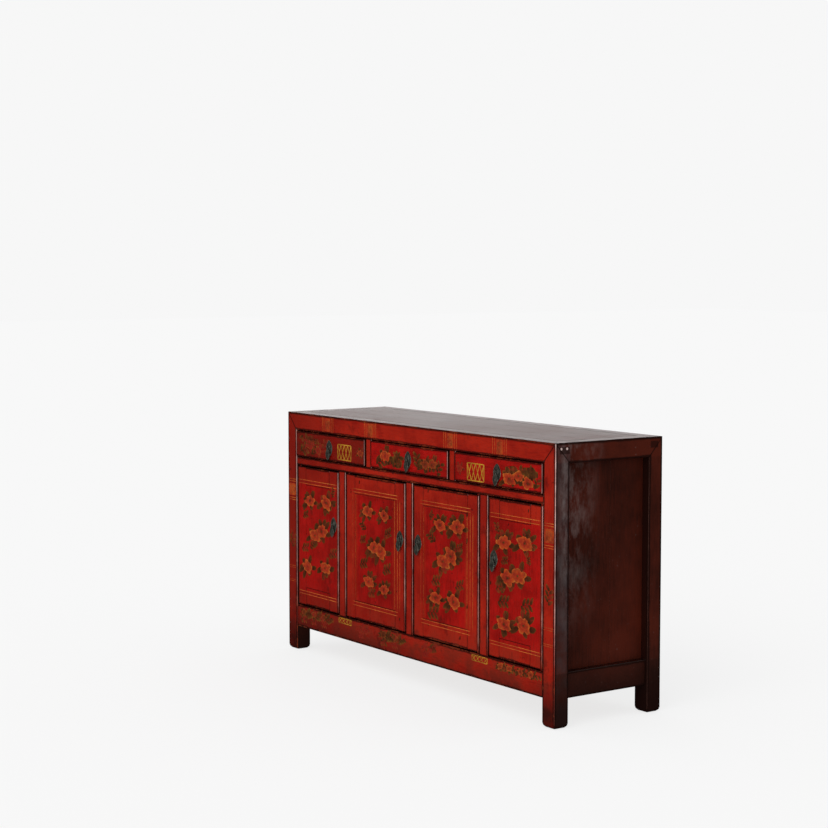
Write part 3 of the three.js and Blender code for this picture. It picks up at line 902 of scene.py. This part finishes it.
def flower(x, z, size, turn=0.0, leaves=6, fade=0.0, kind=PETAL):
    """Leaves first, then two rings of round petals and a heart, about one middle point, all drawn
    a little wider than tall."""
    a = circle(leaves, turn + 0.4) + 0.3 * np.sin(5 * circle(leaves, turn))
    far = size * (0.55 + 0.12 * np.cos(3 * a + turn))
    lx, lz = x + far * np.cos(a), z + 0.85 * far * np.sin(a)
    long = size * (0.85 + 0.3 * np.sin(2 * a))
    out = [strokes(lx, lz, a + 0.3, long, 0.50 * size, 0.8, 2.0, LEAF, (0.0, 0.75), 0.05 * MM, fade)]
    for ring, (count, start, length, broad, shade, lift) in enumerate(PETAL_RINGS):
        a, order = circle(count, turn + 0.5 * ring), np.arange(count)
        px, pz = x + start * size * np.cos(a), z + start * size * np.sin(a)
        long = length * size * (1 + 0.24 * np.sin(2.3 * order + 5 * turn))
        lifts = lift + 0.008 * MM * order
        out.append(strokes(px, pz, a, long, broad * size, 0.75, 2.6, kind, shade, lifts, fade))
    heart = 0.2 * size
    out.append(strokes(x - heart / 2, z, 0, heart, heart, 1, 2, LEAF, (0.2, 0.9), 0.45 * MM, fade))
    for points, _, _ in out:
        points[:, 0] = x + WIDER * (points[:, 0] - x)
        points[:, 2] = z + LOWER * (points[:, 2] - z)
    return out


def sprig(x, z, size, turn=0.0, count=5, fade=0.0):
    """A stem with leaves in pairs up its sides."""
    share = np.linspace(0.1, 0.95, count)
    side = np.where(np.arange(count) % 2, 1, -1)
    sx, sz = x + size * (share - 0.5) * np.cos(turn), z + size * (share - 0.5) * np.sin(turn)
    stem = strokes(sx[0], sz[0], turn, 0.85 * size, 1.6 * MM, 1, 8, LEAF, (0.1, 0.3), 0.04 * MM, fade)
    angles, long, broad = turn + side * 0.9, 0.5 * size, 0.24 * size
    return [stem, strokes(sx, sz, angles, long, broad, 0.9, 2, LEAF, (0.1, 0.9), 0.08 * MM, fade)]


def ruled(x0, z0, x1, z1, width=1.6 * MM, fade=0.2, kind=GOLD):
    """Straight lines from points to others, with blunt ends."""
    x0, z0, x1, z1 = (np.atleast_1d(np.asarray(v, float)) for v in (x0, z0, x1, z1))
    length, angle = np.hypot(x1 - x0, z1 - z0), np.arctan2(z1 - z0, x1 - x0)
    return [strokes(x0, z0, angle, length, width, 1, 40, kind, (0.3, 0.8), 0.03 * MM, fade)]


def lattice(x, z, width, height, cells=3, line=3 * MM, fade=0.1, kind=GILT):
    """A frame filled with crossed slanting bars: a plain diamond trellis."""
    l, r, b, t = x - width / 2, x + width / 2, z - height / 2, z + height / 2
    out = ruled([l, l, l, r], [b, t, b, b], [r, r, l, r], [b, t, t, t], line, fade, kind)
    step = width / cells
    starts = l + step * np.arange(cells)
    out += ruled(starts, b, starts + step, t, line, fade, kind)
    out += ruled(starts, t, starts + step, b, line, fade, kind)
    return out


print("strokes in a flower", sum(len(part[0]) for part in flower(0, 0, 1)) // DOTS)

# %% [markdown]
# The paint of the strokes is tempera and gold on lacquer: a ramp for petals, leaves, warm gold
# lines or bright gilt is chosen by each stroke's kind, a kind in between blends two of them, and
# where the film has flaked the red ground shows again.


# %% Brush paint
RAMPS = {
    "petal": [
        (0.0, rgb(92, 14, 3)),
        (0.35, rgb(142, 34, 4)),
        (0.7, rgb(158, 64, 8)),
        (1.0, rgb(180, 114, 42)),
    ],
    "leaf": [(0.0, rgb(44, 16, 3)), (0.55, rgb(74, 40, 6)), (1.0, rgb(112, 76, 16))],
    "gold": [(0.0, rgb(128, 46, 12)), (0.6, rgb(178, 84, 28)), (1.0, rgb(196, 122, 48))],
    "gilt": [(0.0, rgb(104, 62, 8)), (0.5, rgb(150, 104, 16)), (1.0, rgb(188, 146, 44))],
}


def brush_paint():
    """Four ramps on one tone, dirtied, and worn through to the red in flakes."""
    f = Finish("brush_paint")
    place = f.place()
    flake = f.noise(place, 95.0, 4.0, 0.7)
    patch = f.noise(place, 22.0, 3.0, 0.6)
    tone = f.given("shade") + (flake - 0.5) * 0.6 + (patch - 0.5) * 1.1
    petal, leaf, gold, gilt = (
        f.node("ShaderNodeValToRGB", {"stops": stops}, {"Fac": tone}) for stops in RAMPS.values()
    )
    kind = f.given("kind")
    colour = f.mix(kind.over(0.0, 1.0), petal, leaf)
    colour = f.mix(kind.over(1.0, 2.0), colour, gold)
    colour = f.mix(kind.over(2.0, 3.0), colour, gilt)
    dirty = f.noise(place, 60.0, 4.0, 0.7).over(0.48, 0.60)
    colour = f.mix(dirty * 0.5, colour, rgb(84, 28, 5))
    lost = (flake * 0.55 + patch * 0.45 + f.given("fade") * 0.22).over(0.55, 0.66)
    colour = f.mix(lost * 0.8, colour, rgb(120, 8, 3))
    rough = 0.42 + flake * 0.2
    normal = f.bump(flake, 0.2 * MM, 0.6)
    return f.set(Base_Color=colour, Roughness=rough, Normal=normal, Specular_IOR_Level=0.12)


PAINT = brush_paint()
print("paint:", PAINT.name)

# %% [markdown]
# The layout follows the real piece. Places are millimetres from the left end of the case and up
# from the floor: per door a pair of flowers above, a large double bloom in the middle, a pair
# below, and sprigs between.

# %% Where the flowers, sprigs and knots are
BLOOMS = {  # (along, up, size, turn)
    "door_1": [
        (145, 550, 31, 0.2),
        (253, 553, 35, 1.0),
        (178, 430, 34, 0.5),
        (222, 449, 37, 0.1),
        (128, 313, 33, 0.9),
        (245, 322, 32, 0.4),
    ],
    "door_2": [
        (512, 552, 30, 0.3),
        (612, 548, 27, 0.8),
        (552, 432, 33, 0.2),
        (590, 424, 36, 0.9),
        (520, 312, 30, 0.6),
        (612, 297, 27, 0.1),
    ],
    "door_3": [
        (930, 552, 30, 0.7),
        (1022, 556, 36, 0.2),
        (948, 436, 36, 0.4),
        (988, 458, 38, 1.1),
        (905, 312, 31, 0.3),
        (1005, 314, 34, 0.8),
    ],
    "door_4": [
        (1263, 536, 34, 0.1),
        (1366, 545, 36, 0.6),
        (1284, 428, 36, 0.9),
        (1332, 441, 38, 0.3),
        (1264, 283, 33, 0.5),
        (1362, 293, 36, 1.2),
    ],
}
SPRIGS = {  # (along, up, size, turn)
    "door_1": [
        (112, 497, 34, 0.3),
        (108, 380, 40, 0.1),
        (288, 378, 44, 0.2),
        (160, 395, 40, 0.5),
        (295, 590, 30, 1.2),
    ],
    "door_2": [
        (488, 495, 34, 2.4),
        (628, 488, 40, 0.4),
        (478, 452, 34, 0.2),
        (482, 370, 44, 0.2),
        (620, 366, 46, 0.3),
        (530, 275, 40, 0.1),
    ],
    "door_3": [
        (888, 503, 42, 2.5),
        (1030, 490, 34, 0.3),
        (902, 368, 46, 0.2),
        (1030, 368, 42, 0.3),
        (885, 262, 56, 0.1),
        (880, 575, 28, 0.9),
    ],
    "door_4": [
        (1262, 480, 32, 0.2),
        (1385, 490, 26, 1.8),
        (1255, 352, 50, 0.1),
        (1370, 356, 54, 0.2),
        (1230, 575, 30, 1.9),
        (1240, 395, 44, 0.4),
    ],
}
KNOTS = {  # dark drops: (along, up, size)
    "door_2": [(460, 640, 14), (700, 205, 12)],
    "door_3": [(1072, 592, 17), (1071, 508, 20), (1073, 300, 16), (1036, 196, 14), (862, 650, 12)],
    "door_4": [(1195, 395, 14), (1380, 640, 12)],
}
print("blooms", sum(map(len, BLOOMS.values())), "sprigs", sum(map(len, SPRIGS.values())))

# %% [markdown]
# Strokes are made about an upright plane and then laid on the face of a member. Gold lines run
# along the top and bottom of each door's field. The inner doors have upright lines too, strong on
# the right of the middle and nearly worn away on the left.


# %% What is painted on each door
def along(mm):
    """Millimetres from the left end of the case, as a place on the X axis."""
    return LEFT + np.asarray(mm, float) * MM


def set_on(parts, low, high, margin=2.5 * MM):
    """Strokes are made about the plane y = 0 and laid on the front of a box. A stroke that would
    cross the margin along the box's edge is left out, so nothing hangs over."""
    points, _, values = joined(*parts)
    across, up = points[:, 0].reshape(-1, DOTS), points[:, 2].reshape(-1, DOTS)
    keep = (across.min(1) > low[0] + margin) & (across.max(1) < high[0] - margin)
    keep &= (up.min(1) > low[2] + margin) & (up.max(1) < high[2] - margin)
    points = points.reshape(-1, DOTS, 3)[keep].reshape(-1, 3)
    points[:, 1] += low[1]
    values = {key: v.reshape(-1, DOTS)[keep].ravel() for key, v in values.items()}
    return points, [stroke_faces(keep.sum())], values


NUDGE = -2  # millimetres that the flowers stand left of their listed places
UPRIGHTS = np.array([118, 134, 148]) * MM
for name in DOORS:
    low, high = reach(f"{name}_frame")
    parts = []
    for x, z, size, turn in BLOOMS[name]:
        parts += flower(along(x + NUDGE), z * MM, size * MM, turn, 11, 0.15)
    for x, z, size, turn in SPRIGS[name]:
        parts += sprig(along(x + NUDGE), z * MM, size * MM, turn, 6, 0.25)
    outer = name in OUTER_DOORS
    inset = (5 if outer else 38) * MM
    l, r = low[0] + inset, high[0] - inset
    rows = np.array([622, 610, 222, 212] if outer else [622, 611, 232, 220]) * MM
    parts += ruled(l, rows, r, rows, 1.9 * MM, 0.0)
    if not outer:
        strong = (low[0] + high[0]) / 2 + UPRIGHTS
        faint = (low[0] + high[0]) / 2 - UPRIGHTS[:2]
        parts += ruled(strong, rows[2], strong, rows[1], 1.8 * MM, 0.1)
        parts += ruled(faint, rows[2], faint, rows[1], 1.5 * MM, 0.7)
    for x, z, size in KNOTS.get(name, ()):
        long = size * MM
        parts.append(strokes(along(x), z * MM, 1.4, long, 0.45 * long, 1, 2, LEAF, (0.0, 0.0)))
    face = low, (high[0], high[1], 0.668)
    make(f"{name}_painting", set_on(parts, *face), PAINT, name, slot="panel_lacquer")
print("door paintings", len(BLOOMS))

# %% [markdown]
# Drawers carry flowers on both sides of the pull. Where the real ones have a gilt sign, a plain
# diamond trellis of the same size takes its place, because lettering isn't copied.


# %% What is painted on the drawers
drawer_parts = {
    "drawer_1": flower(along(150), 0.752, 0.026, 0.3, 8, 0.55, 0.7)
    + flower(along(205), 0.735, 0.022, 0.9, 8, 0.55, 0.6)
    + sprig(along(105), 0.728, 0.060, 0.4, 6, 0.2)
    + sprig(along(125), 0.768, 0.050, 2.6, 6, 0.3)
    + sprig(along(180), 0.774, 0.050, 0.1, 6, 0.3)
    + sprig(along(175), 0.722, 0.056, 0.2, 6, 0.2)
    + sprig(along(248), 0.750, 0.044, 1.2, 5, 0.4)
    + lattice(along(374), 0.741, 0.084, 0.052, 4, 3.6 * MM, 0.0)
    + flower(along(472), 0.746, 0.017, 0.2, 6, 0.3, 0.4),
    "drawer_2": flower(along(622), 0.750, 0.029, 0.3, 8, 0.2)
    + sprig(along(585), 0.724, 0.056, 0.4, 6, 0.1)
    + sprig(along(640), 0.722, 0.060, 0.2, 7, 0.0)
    + sprig(along(684), 0.728, 0.062, 0.9, 7, 0.0)
    + sprig(along(700), 0.736, 0.050, 1.9, 6, 0.1)
    + sprig(along(808), 0.742, 0.050, 1.7, 6, 0.1)
    + sprig(along(822), 0.722, 0.056, 0.2, 6, 0.1)
    + flower(along(852), 0.741, 0.024, 0.8, 8, 0.2, 0.6)
    + flower(along(890), 0.745, 0.025, 0.2, 8, 0.2, 0.5)
    + sprig(along(868), 0.718, 0.060, 0.2, 6, 0.1)
    + sprig(along(925), 0.730, 0.046, 1.0, 5, 0.2),
    "drawer_3": flower(along(1036), 0.745, 0.018, 0.2, 6, 0.7, 0.4)
    + lattice(along(1122), 0.740, 0.086, 0.054, 4, 3.6 * MM, 0.0)
    + flower(along(1292), 0.736, 0.031, 0.5, 8, 0.0)
    + flower(along(1338), 0.748, 0.027, 0.1, 7, 0.0)
    + flower(along(1384), 0.728, 0.030, 1.0, 8, 0.0)
    + sprig(along(1300), 0.774, 0.056, 0.1, 6, 0.1)
    + sprig(along(1372), 0.776, 0.080, 0.1, 8, 0.0)
    + sprig(along(1414), 0.758, 0.040, 2.6, 5, 0.1)
    + sprig(along(1420), 0.722, 0.040, 1.2, 5, 0.1),
}
for name, parts in drawer_parts.items():
    make(f"{name}_painting", set_on(parts, *reach(f"{name}_front")), PAINT, name, slot="red_lacquer")
print("drawer paintings", len(drawer_parts))

# %% [markdown]
# The case has small panels ruled in gold: on the top rail, on the posts, and under the uprights
# between the doors, with faded flowers along the bottom rail.


# %% What is painted on the case
def cartouche(x, z, width, height, gap, upright, fade=0.3):
    """A warm square between pairs of gold lines, with a small trellis on it."""
    lengthwise = height / 2 if upright else width / 2
    l, r, b, t = x - width / 2, x + width / 2, z - height / 2, z + height / 2
    patch = strokes(l, z, 0, width, height, 1, 30, PETAL, (0.35, 0.6), -0.1 * MM, fade)
    out = [patch] + lattice(x, z, width * 0.5, height * 0.5, 2, 1.6 * MM, fade, 1.4)
    for offset in (lengthwise + gap / 2, lengthwise + gap * 1.35):
        for away in (-offset, offset):
            ends = (l, z + away, r, z + away) if upright else (x + away, b, x + away, t)
            out += ruled(*ends, 1.6 * MM, fade)
    return out


# (along, size, fade) of the flowers that follow the bottom rail, and the places of the last few
RAIL_FLOWERS = (
    (100, 17, 0.1),
    (165, 16, 0.2),
    (232, 16, 0.2),
    (470, 14, 0.7),
    (605, 18, 0.1),
    (672, 16, 0.2),
    (850, 14, 0.6),
)
SMALL_RAIL_FLOWERS = (1245, 1290, 1345, 1395)

on_post_plane = []
for x in (265, 530, 985, 1240):
    on_post_plane += cartouche(along(x), (TOP_Z + HEIGHT) / 2, 36 * MM, 54 * MM, 12 * MM, False, 0.15)
for x in (29, 1481):
    on_post_plane += cartouche(along(x), 0.582, 48 * MM, 50 * MM, 9 * MM, True, 0.0)
    for z in (0.305, 0.298, 0.255, 0.249):
        on_post_plane += ruled(along(x) - 24 * MM, z, along(x) + 24 * MM, z, 1.5 * MM, 0.5)
    on_post_plane += sprig(along(x), 0.395, 0.050, 1.4, 6, 0.3)
whole = (LEFT, FRONT, 0), (RIGHT, BACK, HEIGHT)
make("case_painting", set_on(on_post_plane, *whole), PAINT, "case", slot="red_lacquer")

on_rail_plane = []
for x in (370, 1140):
    on_rail_plane += lattice(along(x), 0.152, 0.080, 0.018, 4, 2.2 * MM, 0.1)
for x, size, fade in RAIL_FLOWERS:
    on_rail_plane += flower(along(x), 0.144, size * MM, x * 0.1, 9, fade, 0.8)
    on_rail_plane += sprig(along(x + 33), 0.143, 2.8 * size * MM, 0.1 + 0.01 * (x % 40), 8, fade)
    on_rail_plane += sprig(along(x - 4), 0.120, 2.2 * size * MM, 0.05, 6, fade + 0.3)
for x in SMALL_RAIL_FLOWERS:
    on_rail_plane += flower(along(x), 0.148, 0.015, x * 0.01, 7, 0.1, 0.3)
    on_rail_plane += sprig(along(x + 22), 0.150, 0.036, 0.1, 5, 0.0)
on_rail = set_on(on_rail_plane, *reach("bottom_rail_front"))
make("bottom_rail_painting", on_rail, PAINT, "case", slot="red_lacquer")
print("strokes on the bottom rail", len(on_rail[0]) // DOTS)

# %% [markdown]
# A pull is four thin things: a pointed plate with a raised rim and a boss, an eye standing out of
# the boss, a bail through the eye, and a leaf hanging from the bail. Plate and leaf are discs whose
# radius follows a pointed outline, so both come from one function of radius and angle.


# %% Plates and leaves
def disc(x, y, z, outline_x, outline_z, profile, centre_z=0.0):
    """Rings at shares r of the outline, each so many millimetres in front of y. The first and last
    share are nought, so the two middles close the shape. Gives an edge value near the rim."""
    share, proud, edge = np.array(profile, float).T
    rings = [
        x + share[:, None] * outline_x,
        np.broadcast_to(y - MM * proud[:, None], (len(share), len(outline_x))),
        z + centre_z + share[:, None] * (outline_z - centre_z),
    ]
    values = {"edge": np.repeat(edge, len(outline_x))}
    return np.stack(rings, -1).reshape(-1, 3), [walls(len(share), len(outline_x))], values


WIRE = np.linspace(0, 2 * np.pi, 10, endpoint=False)  # round a wire


def looped(count):
    """The quads of a number of wire rings that run on into the first one again."""
    return walls(count + 1, len(WIRE)) % (count * len(WIRE))


def torus(x, y, z, major, minor, stretch, count=20):
    """A ring about an axis along X: (major + minor cos b) round, minor sin b times stretch along."""
    a, b = np.meshgrid(np.linspace(0, 2 * np.pi, count, endpoint=False), WIRE, indexing="ij")
    out = major + minor * np.cos(b)
    points = np.stack([x + stretch * minor * np.sin(b), y + out * np.cos(a), z + out * np.sin(a)], -1)
    return points.reshape(-1, 3), [looped(count)], {"edge": np.full(a.size, 0.6)}


def bail(x, y, z, width, drop, radius, count=36):
    """A wire bent into a rounded loop in the XZ plane: its middle line is a rounded rectangle, and
    round it run circles of the wire's radius, in the plane of Y and the line's own normal."""
    a = np.linspace(0, 2 * np.pi, count, endpoint=False)
    c, s = np.cos(a), np.sin(a)
    line_x = width / 2 * np.sign(c) * np.abs(c) ** 0.5
    line_z = -drop / 2 + drop / 2 * np.sign(s) * np.abs(s) ** 0.5
    tangent = np.stack([np.roll(v, -1) - np.roll(v, 1) for v in (line_x, line_z)])
    tangent /= np.linalg.norm(tangent, axis=0)
    side = radius * np.cos(WIRE)[None]
    rings = [
        x + line_x[:, None] + side * tangent[1][:, None],
        y + radius * np.sin(WIRE)[None] + 0 * line_x[:, None],
        z + line_z[:, None] - side * tangent[0][:, None],
    ]
    points = np.stack(rings, -1).reshape(-1, 3)
    return points, [looped(count)], {"edge": np.full(len(points), 0.7)}


print("quads in an eye", len(looped(20)))

# %% [markdown]
# The outline of a plate or a leaf is an ellipse whose sides are pinched towards the points. The
# profiles list a share of the outline, millimetres in front, and how rubbed the metal is there. A
# plate and its eye are fixed to the drawer or door; a leaf and its bail swing about the eye.


# %% Pulls
AROUND = np.linspace(0, 2 * np.pi, 48, endpoint=False)
POINTED = np.sign(np.sin(AROUND)) * np.abs(np.sin(AROUND)) ** 1.5
PLATE_PROFILE = [
    (0, 0.2, 0),
    (1, 0.2, 1),
    (1, 0.8, 1),
    (0.96, 1.5, 1),
    (0.90, 1.4, 0.8),
    (0.86, 0.9, 0.1),
    (0.45, 0.9, 0),
    (0.42, 1.2, 0.2),
    (0.38, 2.6, 0.5),
    (0.26, 3.8, 0.7),
    (0.1, 4.3, 0.7),
    (0, 4.4, 0.5),
]
LEAF_PROFILE = [
    (0, -0.9, 0.3),
    (0.8, -0.8, 0),
    (1, -0.2, 1),
    (1, 0.3, 1),
    (0.93, 1.0, 1),
    (0.85, 0.8, 0.2),
    (0.6, 0.7, 0),
    (0.25, 0.9, 0.2),
    (0.12, 1.25, 0.9),
    (0, 1.3, 0.9),
]
PLATE_HALF_TALL, PLATE_HALF_WIDE = 28.8 * MM, 19 * MM
LEAF_LONG, LEAF_HALF_WIDE, LEAF_DOWN = 43 * MM, 12.3 * MM, 6.5 * MM
EYE_OUT, EYE_UP, EYE_R, EYE_WIRE = 8 * MM, 9 * MM, 2.75 * MM, 0.95 * MM
BAIL, BAIL_WIRE = 8.6 * MM, 1.15 * MM
fuller = 1 + 0.18 * (1 - np.cos(AROUND)) / 2  # a leaf is widest below its middle
for name in DRAWERS + DOORS:
    x, _, z = sum(reach(f"{name}_plate")) / 2
    surface = reach(f"{name}_front" if name in DRAWERS else f"{name}_frame")[0][1]
    pivot_y, pivot_z = surface - EYE_OUT, z + EYE_UP
    plate_x, plate_z = PLATE_HALF_WIDE * POINTED, PLATE_HALF_TALL * np.cos(AROUND)
    plate = disc(x, surface, z, plate_x, plate_z, PLATE_PROFILE, EYE_UP)
    eye = torus(x, pivot_y, pivot_z, EYE_R, EYE_WIRE, 1.8)
    make(f"{name}_pull_plate", joined(plate, eye), IRON, name, [f"{name}_plate"], "iron", 50)
    leaf_x = LEAF_HALF_WIDE * POINTED * fuller / 1.1
    leaf_z = -LEAF_DOWN - LEAF_LONG / 2 + LEAF_LONG / 2 * np.cos(AROUND)
    leaf = disc(x, pivot_y, pivot_z, leaf_x, leaf_z, LEAF_PROFILE, -LEAF_DOWN - 0.55 * LEAF_LONG)
    loop = bail(x, pivot_y, pivot_z + 0.2 * MM, BAIL, BAIL, BAIL_WIRE)
    make(f"{name}_pull_leaf", joined(leaf, loop), IRON, f"{name}_pull", [f"{name}_drop"], "iron", 50)
print("pulls", len(DRAWERS + DOORS))

# %% [markdown]
# The pieces that stay as the part has them, the runners and the cupboard's floor, only need their
# wood.


# %% Finish the pieces that stay
STAYING = {f"drawer_runner_{i}": WOOD_Y for i in (1, 2, 3, 4)} | {"cupboard_floor": WOOD_X}
for node, wood in STAYING.items():
    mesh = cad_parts[node].data
    mesh.materials.clear()
    mesh.materials.append(wood)
print("pieces that stay", *STAYING)

# %% [markdown]
# The studio is a pale floor under an even pale sky, with a soft sun from the front right. Lacquer
# would mirror a bright room and turn milky, so sky and floor are hidden from reflections, and
# two cards take their place: one low behind the object for the sheen on its top, and a narrow one
# beside the camera, low down, that draws the bright lines down the rounded arrises.

# %% Floor, sky and sun
PALE, FLOOR_REACH, FLOOR_GLOW = 0.93, 40.0, 0.757
floor_mesh = bpy.data.meshes.new("floor")
corners = FLOOR_REACH * np.array([[-1, -1, 0], [1, -1, 0], [1, 1, 0], [-1, 1, 0]])
floor_mesh.from_pydata(corners.tolist(), [], [[0, 1, 2, 3]])
floor = bpy.data.objects.new("floor", floor_mesh)
bpy.context.scene.collection.objects.link(floor)
ground = Finish("floor_paint")
ground_paint = ground.set(
    Base_Color=(0.15, 0.15, 0.15, 1),
    Roughness=1.0,
    Specular_IOR_Level=0.0,
    Emission_Color=(1, 1, 1, 1),
    Emission_Strength=FLOOR_GLOW,
)
floor_mesh.materials.append(ground_paint)
floor.visible_glossy = floor.visible_shadow = False

world = bpy.data.worlds.new("sky")
world.use_nodes = True
world.node_tree.nodes["Background"].inputs["Color"].default_value = (PALE, PALE, PALE, 1)
world.cycles_visibility.glossy = False
bpy.context.scene.world = world


def aim(obj, start, target):
    """Turns a lamp or camera from its place towards a point."""
    obj.location = start
    obj.rotation_euler = (Vector(target) - Vector(start)).to_track_quat("-Z", "Y").to_euler()


sun_light = bpy.data.lights.new("sun", "SUN")
sun_light.energy, sun_light.angle = 1.4, math.radians(50)
sun = bpy.data.objects.new("sun", sun_light)
bpy.context.scene.collection.objects.link(sun)
aim(sun, (1.2, -3.2, 3.0), (0, 0, 0.3))
sun.visible_glossy = False
print("floor reaches", FLOOR_REACH, "m, sun", sun_light.energy)

# %% [markdown]
# A card's power is its strength times its area and pi, so a wider card is as bright as a narrow
# one. The camera stands to the front right, a little above the top, and looks slightly down with
# a long lens, which keeps the uprights nearly parallel.


# %% Reflection cards and camera
def card(name, start, target, width, height, strength, tint=(1.0, 1.0, 1.0)):
    """A lit panel that only shows in reflections."""
    light = bpy.data.lights.new(name, "AREA")
    light.shape, light.size, light.size_y = "RECTANGLE", width, height
    light.energy, light.color = strength * width * height * math.pi, tint
    obj = bpy.data.objects.new(name, light)
    bpy.context.scene.collection.objects.link(obj)
    aim(obj, start, target)
    obj.visible_diffuse = obj.visible_camera = False


card("card_behind", (-7.0, 5.2, 1.6), (0, 0, 0.86), 9.0, 3.2, 2.25, (1.0, 0.95, 0.94))
card("card_front", (4.6, -3.9, -0.3), (0, 0, -0.3), 5.0, 2.0, 9.0)

LENS, SENSOR = 81.46, 36.0
CAMERA_PLACE, LOOKS_DOWN, TURNED = (5.00116, -3.71811, 1.37782), 4.48, 54.75
camera_data = bpy.data.cameras.new("camera")
camera_data.lens, camera_data.sensor_width = LENS, SENSOR
camera = bpy.data.objects.new("camera", camera_data)
bpy.context.scene.collection.objects.link(camera)
camera.location = CAMERA_PLACE
camera.rotation_euler = (math.radians(90 - LOOKS_DOWN), 0, math.radians(TURNED))
bpy.context.scene.camera = camera
bpy.context.scene.view_settings.view_transform = "Standard"
print("camera", [round(v, 3) for v in camera.location])
